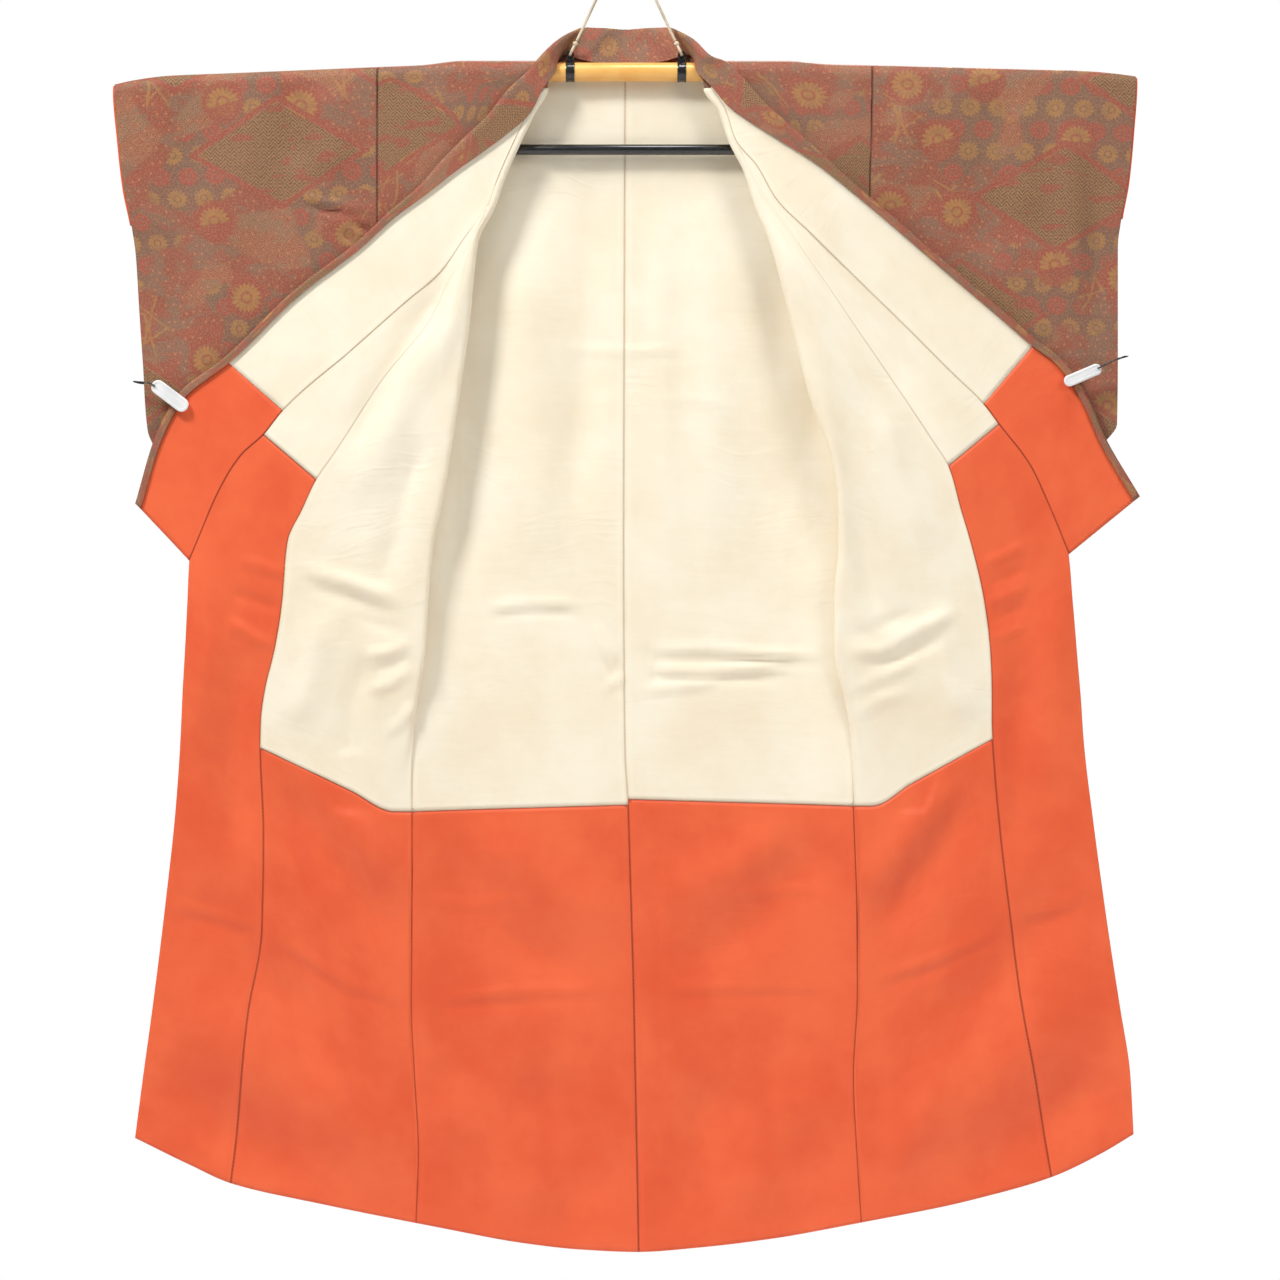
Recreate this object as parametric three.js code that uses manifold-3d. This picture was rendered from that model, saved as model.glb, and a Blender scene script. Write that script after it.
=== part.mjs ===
// A komon kimono hung open on a telescopic kimono hanger. Millimetres, +Z up, -Y towards the viewer.
// The origin is the top of the hanging ring's hole, where a hook carries everything.
import * as THREE from 'three';
import { mergeVertices } from 'three/addons/utils/BufferGeometryUtils.js';
import Module from 'manifold-3d';

const wasm = await Module();
wasm.setup();

// ---- driving dimensions ----
const CLOTH = 1.2;            // wall of the patterned outer cloth
const LINING = 1.0;           // wall of a lining
const GAP = 0.3;              // space between pieces that meet
const DROP = 14;              // the garment's tables start this far below the origin

const TUBE_Z = -163.4;        // axis of the hanger's tube
const TUBE_R = 11.8;
const TUBE_BORE = 10.6;
const TUBE_HALF = 190;
const ROD_R = 9.5;            // telescoping rods
const ROD_IN = 20;            // length of a rod kept inside the tube
const ROD_REACH = 574;
const ROD_LIFT = 0.6;
const ROD_SAG = { left: 0.0419, right: 0.0262 };   // slope of each loaded rod
const BAR_Z = -260.8;         // lower bar for the sash
const BAR_R = 6.75;
const BAR_HALF = 158;
const POST_X = 150;
const POST_R = 3.5;
const BRACKET_X = 70;         // the brackets that the cord is tied to
const BRACKET_WIDTH = 11;
const CORD_R = 1.7;
const KNOT_R = 3.6;
const EYE_Z = -142;           // eyelets of the brackets
const LOOP_R = 6;             // loop of cord through an eyelet
const LOOP_LEAN = 25;         // degrees that the cord pulls its loops inwards
const RING_R = 12;
const RING_WIRE = 3;

// ---- colours ----
const PATTERNED = { color: 0xa9744a, roughness: 0.75 };
const WHITE_LINING = { color: 0xf6ecd9, roughness: 0.6 };
const ORANGE_LINING = { color: 0xe8693f, roughness: 0.6 };
const GOLD = { color: 0xb9974f, roughness: 0.3, metalness: 0.9 };
const BLACK = { color: 0x151515, roughness: 0.35 };
const CREAM = { color: 0xe9dfc6, roughness: 0.8 };
const CLIP_WHITE = { color: 0xf4f4f2, roughness: 0.4 };

// ---- section tables; x is measured outwards from the middle, z down from the cord's top ----
// Front panel: side seam, roll line where the front turns outwards, and the overlap panel's seam;
// rise is how much higher the overlap seam's point lies. 'flat' is 1 where nothing is turned over.
const FRONT = {
  left: table('z side roll seam rise flat', [
    [-186, 311, 98, 106, 0, 0], [-216, 311, 114, 122, 0, 0], [-255, 311, 133, 141, 0, 0],
    [-299, 311, 152, 160, 0, 0], [-334, 311, 164, 172, 0, 0], [-377, 311, 185, 193, 0, 0],
    [-425, 309, 191, 219, 0, 0], [-477, 306, 196, 245, 0, 0], [-550, 302, 206, 304, 0, 0],
    [-643, 296, 220, 365, 0, 0], [-675, 294, 225, 387, 0, 0], [-713, 290, 233, 405, 0, 0],
    [-752, 286, 241, 423, 0, 0], [-836, 279, 249, 431, 0, 0], [-889, 274, 252, 440, 0, 0],
    [-951, 271, 253, 452, 12, 0.3], [-1020, 270, 257, 457, 44, 0.65], [-1091, 269, 266, 458, 80, 1],
    [-1202, 269, 269, 454, 78, 1], [-1332, 270, 270, 456, 94, 1], [-1422, 266, 266, 473, 82, 1],
    [-1516, 261, 261, 483, 69, 1], [-1608, 264, 264, 495, 50, 1],
  ]),
  right: table('z side roll seam rise flat', [
    [-186, 308, 98, 106, 0, 0], [-213, 307, 116, 124, 0, 0], [-251, 307, 129, 137, 0, 0],
    [-289, 305, 148, 156, 0, 0], [-330, 305, 161, 181, 0, 0], [-380, 304, 181, 214, 0, 0],
    [-437, 303, 197, 254, 0, 0], [-503, 302, 213, 299, 0, 0], [-577, 300, 232, 350, 0, 0],
    [-625, 298, 250, 382, 0, 0], [-658, 297, 260, 403, 0, 0], [-713, 295, 267, 419, 0, 0],
    [-757, 293, 267, 432, 0, 0], [-826, 290, 262, 448, 0, 0], [-889, 288, 262, 456, 0, 0],
    [-951, 286, 266, 458, 12, 0.3], [-1020, 285, 272, 458, 50, 0.65], [-1084, 286, 279, 459, 84, 1],
    [-1199, 290, 290, 468, 90, 1], [-1314, 291, 291, 482, 87, 1], [-1426, 286, 286, 497, 85, 1],
    [-1516, 290, 290, 516, 69, 1], [-1610, 296, 296, 533, 58, 1],
  ]),
};
const TIP_ROW = { left: 5, right: 3 };     // the front's row where the overlap panel's tip is sewn in
const COLLAR_END_ROW = 13;
const COLLAR_ORANGE_ROW = 9;               // linings change from white to orange at these rows
const OVERLAP_ORANGE_ROW = 10;
const BODY_ORANGE_ROW = 17;

// Outer edge of the overlap panel, from its tip: sewn to the collar, then free down to the hem.
const OVERLAP_EDGE = {
  left: table('x z', [
    [199, -372], [230, -415], [274, -453], [344, -515], [429, -589], [453, -619], [481, -645],
    [505, -682], [546, -777], [548, -826], [551, -889], [554, -939], [556, -979], [564, -1092],
    [576, -1202], [592, -1334], [605, -1428], [614, -1497],
  ]),
  right: table('x z', [
    [163, -283], [188, -326], [231, -369], [282, -418], [340, -475], [405, -540], [447, -581],
    [466, -606], [506, -659], [526, -701], [554, -769], [559, -832], [564, -895], [569, -951],
    [572, -995], [584, -1096], [601, -1221], [618, -1334], [631, -1416], [635, -1483],
  ]),
};

// Fold of the collar beside each row of the front, and the width that is folded over.
const COLLAR_FOLD = {
  left: table('x z over', [
    [120, -165, 28], [146, -190, 38], [172, -223, 31], [200, -250, 26], [226, -276, 20],
    [255, -309, 12], [297, -345, 8], [332, -378, 7], [414, -441, 7], [502, -525, 7],
    [518, -537, 7], [555, -566, 7], [585, -618, 7], [612, -707, 7],
  ]),
  right: table('x z over', [
    [122, -154, 34], [152, -182, 36], [173, -207, 28], [200, -231, 22], [241, -268, 13],
    [284, -308, 8], [337, -353, 7], [399, -406, 7], [469, -465, 7], [513, -503, 7],
    [545, -528, 7], [579, -580, 7], [596, -620, 7], [641, -698, 7],
  ]),
};
// The standing collar, from the middle of the back to the neck's sides.
const COLLAR_NECK = table('x y z over', [
  [0, 32, -109, 48], [30, 31, -107, 48], [55, 26, -106, 44], [71, 11, -113, 35],
  [88, -8, -127, 26], [106, -21, -148, 24],
]);

// Sleeves: 'down' is the share of the way from the top fold to the bottom seam; 'mouth' and 'full' are
// half the space between the layers at the outer edge and in the middle.
const SLEEVE = {
  left: table('down outer mouth full', [
    [0.14, 636, 8, 9], [0.28, 629, 6.5, 7], [0.38, 620, 5, 6.5], [0.46, 615, 1.4, 6], [0.6, 611, 0.9, 6],
    [0.76, 606, 0.9, 6], [0.95, 600, 0.9, 5], [1, 591, 0.9, 0.9],
  ]),
  right: table('down outer mouth full', [
    [0.14, 635, 8, 9], [0.28, 629, 6.5, 7], [0.38, 621, 5, 6.5], [0.46, 617, 1.4, 6], [0.6, 617, 0.9, 6],
    [0.76, 617, 0.9, 6], [0.95, 616, 0.9, 5], [1, 601, 0.9, 0.9],
  ]),
};
const SLEEVE_TOP = { left: { outer: 641, dip: 6 }, right: { outer: 639, dip: 3 } };
const SLEEVE_BOTTOM_Z = { left: -636, right: -628 };
const SLEEVE_CUFF_ROWS = 3;   // rows of the table down which the sleeve's mouth stays open
const SLEEVE_ACROSS = [0, 0.2, 0.4, 0.6, 0.8, 0.93, 1];
const SLEEVE_SEAM = 1;        // space that the sleeve's seam takes beside the body
const ARCH_TURNS = [-90, -45, 0, 45, 90].map(THREE.MathUtils.degToRad);

// Depths, negative towards the viewer.
const FRONT_DEPTH = table('z under roll', [
  [-186, -13.5, 3.2], [-300, -14, 4.5], [-425, -14, 5.5], [-550, -12.5, 6], [-750, -10, 5.5],
  [-889, -8, 4.5], [-1091, -3, 2.5], [-1700, -3, 2.5],
]);
const SEAM_DEPTH = table('z y', [
  [-289, -23], [-377, -25], [-500, -23.5], [-640, -20], [-760, -17], [-890, -14], [-1011, -9],
  [-1240, -8], [-1560, -11],
]);
const EDGE_DEPTH = table('z y', [
  [-283, -23.5], [-372, -25.5], [-453, -21], [-589, -16], [-680, -15], [-890, -15], [-1200, -14],
  [-1497, -18],
]);
const FOLD_DEPTH = table('z y', [
  [-154, -18], [-190, -24], [-250, -27], [-309, -25], [-378, -20], [-441, -16], [-525, -14],
  [-620, -13.5], [-707, -15],
]);
const BACK_DEPTH = table('z y', [
  [-163, 13.5], [-300, 15], [-550, 15], [-800, 14], [-1090, 11], [-1330, 9], [-1643, 8],
]);
const SIDE_PART = table('z y', [      // half the space between front and back at the side edge
  [-163, 10.5], [-388, 6], [-560, 2.4], [-951, 2.4], [-1084, 0], [-1643, 0],
]);
const CENTRE_SEAM = table('z x', [
  [-163, -1], [-740, -3], [-1000, -2], [-1090, 3], [-1330, 10], [-1643, 16],
]);
// Back panel rows follow these rows of the front; drop is how much lower the centre seam's point is.
const BACK_ROWS = table('row drop', [
  [1, 0], [4, 0], [7, 0], [9, 0], [12, 0], [14, 0], [16, -5], [17, -8], [18, -11], [19, -14],
  [20, 10], [21, 24], [22, 34],
]);
const BACK_ACROSS = [0, 0.04, 0.28, 0.5, 0.75, 1];
const NECK_X = 90;            // neck point on the shoulder

/** Rows of named columns. */
function table(names, rows) {
  const keys = names.split(' ');
  return rows.map((row) => Object.fromEntries(keys.map((key, i) => [key, row[i]])));
}

/** Value of a column at height z, between the rows of a table that runs downwards. */
function at(rows, column, z) {
  if (z >= rows[0].z) return rows[0][column];
  for (let i = 1; i < rows.length; i += 1) {
    if (z >= rows[i].z) {
      const share = (rows[i - 1].z - z) / (rows[i - 1].z - rows[i].z);
      return THREE.MathUtils.lerp(rows[i - 1][column], rows[i][column], share);
    }
  }
  return rows[rows.length - 1][column];
}

const lerp = THREE.MathUtils.lerp;
const point = (x, y, z) => new THREE.Vector3(x, y, z);
const signOf = (side) => (side === 'left' ? -1 : 1);

// ---- cloth walls ----
/** A closed body from two grids of points that lie opposite each other. */
function bodyBetween(near, far) {
  const rows = near.length;
  const columns = near[0].length;
  const positions = [...near.flat(), ...far.flat()].flatMap((p) => [p.x, p.y, p.z]);
  const index = [];
  const id = (layer, row, column) => layer * rows * columns + row * columns + column;
  const quad = (a, b, c, d) => index.push(a, b, c, a, c, d);
  for (let row = 0; row < rows - 1; row += 1) {
    for (let column = 0; column < columns - 1; column += 1) {
      quad(id(0, row, column), id(0, row, column + 1), id(0, row + 1, column + 1), id(0, row + 1, column));
      quad(id(1, row, column), id(1, row + 1, column), id(1, row + 1, column + 1), id(1, row, column + 1));
    }
  }
  for (let row = 0; row < rows - 1; row += 1) {
    const last = columns - 1;
    quad(id(0, row, 0), id(0, row + 1, 0), id(1, row + 1, 0), id(1, row, 0));
    quad(id(0, row, last), id(1, row, last), id(1, row + 1, last), id(0, row + 1, last));
  }
  for (let column = 0; column < columns - 1; column += 1) {
    const last = rows - 1;
    quad(id(0, 0, column), id(1, 0, column), id(1, 0, column + 1), id(0, 0, column + 1));
    quad(id(0, last, column), id(0, last, column + 1), id(1, last, column + 1), id(1, last, column));
  }
  const geometry = new THREE.BufferGeometry();
  geometry.setAttribute('position', new THREE.Float32BufferAttribute(positions, 3));
  geometry.setIndex(enclosedVolume(positions, index) < 0 ? index.reverse() : index);
  geometry.computeVertexNormals();
  return geometry;
}

function enclosedVolume(positions, index) {
  const corner = (i) => point(positions[3 * i], positions[3 * i + 1], positions[3 * i + 2]);
  let volume = 0;
  for (let i = 0; i < index.length; i += 3) {
    volume += corner(index[i]).dot(corner(index[i + 1]).cross(corner(index[i + 2]))) / 6;
  }
  return volume;
}

/** A panel is a grid of points on its middle surface, with normals that point to the lining. */
function panel(points, sense) {
  const normals = points.map((row, v) => row.map((_, u) => {
    const across = row[Math.min(u + 1, row.length - 1)].clone().sub(row[Math.max(u - 1, 0)]);
    const above = points[Math.max(v - 1, 0)][u];
    const below = points[Math.min(v + 1, points.length - 1)][u];
    return across.cross(below.clone().sub(above)).normalize().multiplyScalar(sense);
  }));
  return { points, normals };
}

/** Part of a panel's surface, moved out by a distance along its normals. */
function moved({ points, normals }, distance, { rows = [0, points.length], columns = [0] } = {}) {
  return points.slice(...rows).map((row, v) => row.slice(...columns).map(
    (p, u) => p.clone().addScaledVector(normals[rows[0] + v][columns[0] + u], distance)));
}

const outerCloth = (source, part) => bodyBetween(
  moved(source, -CLOTH / 2, part), moved(source, CLOTH / 2, part));
const liningOn = (source, part) => bodyBetween(
  moved(source, CLOTH / 2 + GAP, part), moved(source, CLOTH / 2 + GAP + LINING, part));

// ---- shapes of the panels ----
const rodZ = (side, x) => TUBE_Z + ROD_LIFT - Math.max(x - (TUBE_HALF - ROD_IN), 0) * ROD_SAG[side];

/** Centre height and radius of the cloth's corners where it lies over the tube and the rod. */
function shoulder(side, x) {
  const past = THREE.MathUtils.clamp((x - 206) / 40, 0, 1);
  const radius = (lerp(TUBE_R, ROD_R, past) + GAP + CLOTH / 2) / Math.cos(Math.PI / 8);
  return { z: lerp(TUBE_Z, rodZ(side, x), past), radius };
}

/** Points over the shoulder; turn is 0 at the top and a quarter at the front or back of the pole. */
function shoulderRow(side, turn, facing, distances) {
  return distances.map((x) => {
    const { z, radius } = shoulder(side, x);
    const y = facing * (radius * Math.sin(turn) + SHOULDER_SEAM);
    return point(signOf(side) * x, y, z + radius * Math.cos(turn));
  });
}
const SHOULDER_TURNS = [0, Math.PI / 4, Math.PI / 2];
const SHOULDER_SEAM = 0.45;   // half the seam's space at the top of the shoulder

function backPanel(side) {
  const sign = signOf(side);
  const front = FRONT[side];
  const top = SHOULDER_TURNS.slice(0, 2).map((turn) => shoulderRow(
    side, turn, 1, BACK_ACROSS.map((share) => lerp(front[0].side, NECK_X, share))));
  const centreAt = (z) => sign * at(CENTRE_SEAM, 'x', z) + GAP / 2 + 0.05;
  const neckRow = BACK_ACROSS.map((share) => {
    const x = lerp(front[0].side, centreAt(TUBE_Z), share);
    const { z, radius } = shoulder(side, Math.max(x, NECK_X));
    return point(sign * x, radius + SHOULDER_SEAM + 2.5 * share * share, z);
  });
  const body = BACK_ROWS.map(({ row, drop }) => {
    const { z, side: edge } = front[row];
    const centreZ = z - drop;
    return BACK_ACROSS.map((share) => {
      const x = lerp(edge - GAP, centreAt(centreZ), share);
      const height = lerp(z, centreZ, share);
      const fullness = Math.min(share / 0.3, 1);
      return point(sign * x, lerp(at(SIDE_PART, 'y', z), at(BACK_DEPTH, 'y', height), fullness), height);
    });
  });
  return panel([...top, neckRow, ...body], sign);
}

const UNDER_SHARES = [0, 0.25, 0.5, 0.75];
const SHOULDER_SHARES = [0, 0.25, 0.49];
const NECK_STEPS = [9, 8, 7, 6, 4.5, 3, 1.5, 0];      // last columns on the shoulder, beside the neck
const ROLL_TURNS = [0, 60, 120, 180].map(THREE.MathUtils.degToRad);
const LAP_SHARES = [1 / 3, 2 / 3, 1];
const FLAT_STEPS = [0, 1, 2, 3, 6, 11, 16, 21];   // first columns where the front lies unturned

/** One row of a front: under layer, roll, and the turned part out to the overlap panel's seam. */
function frontRow(side, { z, side: edge, roll, seam, rise, flat }) {
  const under = at(FRONT_DEPTH, 'under', z);
  const radius = at(FRONT_DEPTH, 'roll', z);
  const sideDepth = -at(SIDE_PART, 'y', z);
  const seamX = seam - GAP / 2;
  const seamY = rise === 0 && seam - roll < 10 ? under - 2 * radius : at(SEAM_DEPTH, 'y', z + rise);
  const folded = [
    ...UNDER_SHARES.map((share) => [
      lerp(edge + GAP, roll + radius, share), lerp(sideDepth, under, Math.min(share / 0.5, 1))]),
    ...ROLL_TURNS.map((turn) => [
      roll + radius - radius * Math.sin(turn), under - radius + radius * Math.cos(turn)]),
  ];
  const plain = FLAT_STEPS.map((step) => [
    edge + GAP + step, lerp(sideDepth, seamY, step / (seamX - edge))]);
  const start = folded.map((pair, i) => pair.map((value, k) => lerp(value, plain[i][k], flat)));
  const [lastX, lastY] = start[start.length - 1];
  const lap = LAP_SHARES.map((share) => [lerp(lastX, seamX, share), lerp(lastY, seamY, share)]);
  return [...start, ...lap].map(([x, y], i) => {
    const lapShare = i < start.length ? 0 : LAP_SHARES[i - start.length];
    return point(signOf(side) * x, y, z + rise * lapShare);
  });
}

function frontPanel(side) {
  const edge = FRONT[side][0].side;
  const distances = [
    ...SHOULDER_SHARES.map((share) => lerp(edge, NECK_X, share)),
    ...NECK_STEPS.map((step) => NECK_X + step)];
  const top = SHOULDER_TURNS.map((turn) => shoulderRow(side, turn, -1, distances));
  return panel([...top, ...FRONT[side].map((row) => frontRow(side, row))], -signOf(side));
}
const FRONT_TOP_ROWS = SHOULDER_TURNS.length;
const FRONT_ROLL_COLUMN = 5;

const OVERLAP_ACROSS = [0, 0.33, 0.66, 1];

function overlapPanel(side) {
  const sign = signOf(side);
  const rows = OVERLAP_EDGE[side].map((edge, i) => {
    const { z, seam, rise } = FRONT[side][TIP_ROW[side] + i];
    const top = i === 0 ? -at(FRONT_DEPTH, 'under', z) + 2 * at(FRONT_DEPTH, 'roll', z) : 0;
    const seamY = top > 0 ? -top : at(SEAM_DEPTH, 'y', z + rise);
    const edgeY = i === 0 ? seamY : at(EDGE_DEPTH, 'y', edge.z);
    return OVERLAP_ACROSS.map((share) => point(
      sign * lerp(seam + GAP / 2 + 0.1, edge.x, share),
      lerp(seamY, edgeY, share),
      lerp(z + rise, edge.z, share)));
  });
  return panel(rows, -sign);
}

const COLLAR_SEAM = CLOTH / 2 + GAP + 0.05;      // the collar's edge above the edge it is sewn to
const COLLAR_PART = { neck: 4, front: 4.6 };     // space between the collar's two layers
const COLLAR_HALF_SHARES = [0, 0.5, 1];
const COLLAR_TURN_SHARE = 0.06;                  // part of the half that the fold takes from its lining

/** Edges that the collar is sewn to, from the middle of the back to the collar's end. */
function necklineEdges(side, back, front, overlap) {
  const last = (row) => row[row.length - 1];
  const onShoulder = (source, row) => ({
    edge: last(source.points[row]), out: last(source.normals[row]).clone().negate() });
  const centre = last(back.points[2]).clone().setX(0);
  const shoulderTop = last(back.points[1]);
  const frontEdge = front.points.slice(FRONT_TOP_ROWS, FRONT_TOP_ROWS + TIP_ROW[side]).map(last);
  const overlapEdge = overlap.points.slice(0, COLLAR_END_ROW - TIP_ROW[side] + 1).map(last);
  return [
    { edge: centre }, { edge: centre.clone().lerp(shoulderTop, 0.5) }, onShoulder(back, 1),
    onShoulder(back, 0), onShoulder(front, 1), onShoulder(front, 2),
    ...[...frontEdge, ...overlapEdge].map((edge) => ({ edge }))];
}

/** Rows of the collar on one side: sewn edge, fold, and the layer that is folded over. */
function collarRows(side, edges) {
  const sign = signOf(side);
  const folds = [
    ...COLLAR_NECK.map(({ x, y, z, over }) => ({ fold: point(sign * x, y, z), over })),
    ...COLLAR_FOLD[side].map(({ x, z, over }) => ({ fold: point(sign * x, at(FOLD_DEPTH, 'y', z), z), over })),
  ];
  return edges.map(({ edge, out }, i) => {
    const { fold, over } = folds[i];
    const up = fold.clone().sub(edge).normalize();
    const seam = edge.clone().addScaledVector(out ?? up, out ? CLOTH + GAP : COLLAR_SEAM);
    return { seam, fold, over, up };
  });
}

/** The whole collar: sewn edge, fold and free edge, with the half that its lining lies on. */
function collarPanel(rows) {
  const half = panel(rows.map(({ seam, fold }) => COLLAR_HALF_SHARES.map(
    (share) => seam.clone().lerp(fold, share))), -1);
  const points = rows.map(({ fold, over, up }, i) => {
    const [seam, middle, end] = half.points[i];
    const inward = half.normals[i][1];
    const part = Math.abs(fold.x) < 80 ? COLLAR_PART.neck : COLLAR_PART.front;
    const corner = fold.clone().addScaledVector(inward, part / 2).addScaledVector(up, part / 2);
    const free = end.clone().addScaledVector(inward, part);
    return [seam, middle, end, corner, free,
      free.clone().addScaledVector(up, -over / 2), free.clone().addScaledVector(up, -over)];
  });
  return { ...panel(points, 1), half };
}

function sleevePanel(side) {
  const sign = signOf(side);
  const { outer: topOuter, dip } = SLEEVE_TOP[side];
  const innerAt = (z) => at(FRONT[side].slice(0, TIP_ROW[side] + 1), 'side', z) + SLEEVE_SEAM;
  const over = (x) => {
    const past = THREE.MathUtils.clamp((x - ROD_REACH) / (topOuter - ROD_REACH), 0, 1);
    const { z, radius } = shoulder(side, x);
    return { z: z - dip * past * past, radius: radius - 2 * past };
  };
  const layer = (facing, { down, outer, mouth, full }) => SLEEVE_ACROSS.map((share) => {
    const inner = innerAt(lerp(TUBE_Z, SLEEVE_BOTTOM_Z[side], down));
    const x = lerp(inner, outer, share);
    const y = lerp(mouth, full, Math.min((1 - share) / 0.2, 1));
    return point(sign * x, facing * y, lerp(over(x).z, SLEEVE_BOTTOM_Z[side], down));
  });
  const arch = ARCH_TURNS.map((turn) => SLEEVE_ACROSS.map((share) => {
    const x = lerp(innerAt(TUBE_Z), topOuter, share);
    const { z, radius } = over(x);
    return point(sign * x, radius * Math.sin(turn), z + radius * Math.cos(turn));
  }));
  const rows = SLEEVE[side];
  return panel([
    ...[...rows].reverse().map((row) => layer(-1, row)), ...arch, ...rows.map((row) => layer(1, row)),
  ], -sign);
}

/** Narrow lining inside the sleeve's mouth, standing a little past the outer cloth. */
function sleeveEdging(sleeve, side) {
  const rows = SLEEVE[side].length - SLEEVE_CUFF_ROWS;
  const last = SLEEVE_ACROSS.length - 1;
  const pick = [rows, sleeve.points.length - rows];
  const strip = ({ points, normals }) => {
    const edge = points.slice(...pick).map((row, v) => {
      const outward = row[last].clone().sub(row[last - 1]).normalize();
      return [row[last].clone().addScaledVector(outward, -9), row[last].clone().addScaledVector(outward, 2)];
    });
    const sense = normals.slice(...pick).map((row) => [row[last], row[last]]);
    return { points: edge, normals: sense };
  };
  return liningOn(strip(sleeve));
}

// ---- hanger ----
const alongX = (geometry) => geometry.rotateZ(-Math.PI / 2);

function roundBar(radius, from, to, bevel = 1) {
  const half = (to - from) / 2;
  const outline = [[0, -half], [radius - bevel, -half], [radius, -half + bevel],
    [radius, half - bevel], [radius - bevel, half], [0, half]];
  const lathe = new THREE.LatheGeometry(outline.map(([x, y]) => new THREE.Vector2(x, y)), 24);
  return alongX(lathe).translate((from + to) / 2, 0, 0);
}

function pipe(outer, bore, half, sides = 32) {
  const outline = [[bore, -half], [outer, -half], [outer, half], [bore, half], [bore, -half]];
  return alongX(new THREE.LatheGeometry(outline.map(([x, y]) => new THREE.Vector2(x, y)), sides));
}

function rod(side) {
  const start = TUBE_HALF - ROD_IN;
  const geometry = roundBar(ROD_R, 0, ROD_REACH - start);
  const mesh = piece(`hanger_rod_${side}`, geometry, GOLD);
  mesh.position.set(signOf(side) * start, 0, rodZ(side, start));
  mesh.rotation.set(0, Math.atan(ROD_SAG[side]), side === 'left' ? Math.PI : 0, 'ZYX');
  return mesh;
}

function asSolid(geometry) {
  const plain = geometry.clone();
  plain.deleteAttribute('normal');
  plain.deleteAttribute('uv');
  const merged = mergeVertices(plain, 1e-4);
  return new wasm.Manifold(new wasm.Mesh({
    numProp: 3,
    vertProperties: new Float32Array(merged.attributes.position.array),
    triVerts: new Uint32Array(merged.index.array),
  }));
}

function asGeometry(solid) {
  const mesh = solid.getMesh();
  const geometry = new THREE.BufferGeometry();
  geometry.setAttribute('position', new THREE.BufferAttribute(mesh.vertProperties, 3));
  geometry.setIndex(new THREE.BufferAttribute(mesh.triVerts, 1));
  geometry.computeVertexNormals();
  return geometry;
}

/** Collar round the tube with a tapered tab that has an eyelet. */
function bracket() {
  const collar = asSolid(pipe(TUBE_R + 1.2, TUBE_R + GAP, BRACKET_WIDTH / 2, 32));
  const shape = new THREE.Shape();
  shape.moveTo(-5.5, 12.6);
  shape.lineTo(5.5, 12.6);
  shape.lineTo(3.6, 27);
  shape.lineTo(-3.6, 27);
  shape.closePath();
  const eye = new THREE.Path();
  eye.absarc(0, EYE_Z - TUBE_Z, 2.4, 0, 2 * Math.PI, true);
  shape.holes.push(eye);
  const plate = new THREE.ExtrudeGeometry(shape, { depth: 4, bevelEnabled: false, curveSegments: 10 });
  plate.rotateX(Math.PI / 2).translate(0, 2, 0);
  return asGeometry(collar.add(asSolid(plate)));
}

/** Loop of cord through an eyelet at its own origin, with the knot that closes it, leaning to +X. */
function cordLoop() {
  const loop = new THREE.TorusGeometry(LOOP_R, CORD_R - 0.1, 10, 20).rotateY(Math.PI / 2);
  const knot = new THREE.SphereGeometry(KNOT_R, 12, 8).scale(1, 1, 1.05).translate(0, 0, LOOP_R + 3.5);
  const tied = asGeometry(asSolid(loop).add(asSolid(knot)));
  return tied.translate(0, 0, LOOP_R).rotateY(THREE.MathUtils.degToRad(LOOP_LEAN));
}

/** The cord from one knot over the hanging ring to the other knot: x, z. */
const CORD_ROUTE = [
  [-61.6, -124], [-54.4, -109], [-45, -88.8], [-33.9, -65.2], [-22.9, -41.5], [-13, -20.2],
  [-6.3, -5.8], [-3.8, -2.8], [0, -1.6], [3.8, -2.8], [6.3, -5.8],
  [13, -20.2], [22.9, -41.5], [33.9, -65.2], [45, -88.8], [54.4, -109], [61.6, -124],
];

function cord() {
  const route = new THREE.CatmullRomCurve3(CORD_ROUTE.map(([x, z]) => point(x, 0, z)));
  const section = new THREE.Shape();
  section.absarc(0, 0, CORD_R, 0, 2 * Math.PI);
  return new THREE.ExtrudeGeometry(section, { steps: 40, curveSegments: 4, extrudePath: route });
}

// ---- clips ----
const CLIPS = {
  left: { x: -570, z: -571, length: 54, width: 18, tilt: -37, front: -22.3, back: 11, wire: [-588, -559, -614, -553] },
  right: { x: 571, z: -545, length: 50, width: 14.5, tilt: 23, front: -22.3, back: 11, wire: [589, -537, 626, -521] },
};
const JAW = 6;

function jaw({ length, width, tilt }) {
  const radius = width / 2;
  const run = length / 2 - radius;
  const outline = new THREE.Shape();
  outline.absarc(run, 0, radius, -Math.PI / 2, Math.PI / 2);
  outline.absarc(-run, 0, radius, Math.PI / 2, 1.5 * Math.PI);
  outline.closePath();
  const solid = new THREE.ExtrudeGeometry(outline, { depth: JAW, bevelEnabled: false, curveSegments: 10 });
  return solid.translate(0, 0, -JAW / 2).rotateX(Math.PI / 2).rotateY(-THREE.MathUtils.degToRad(tilt));
}

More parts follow.
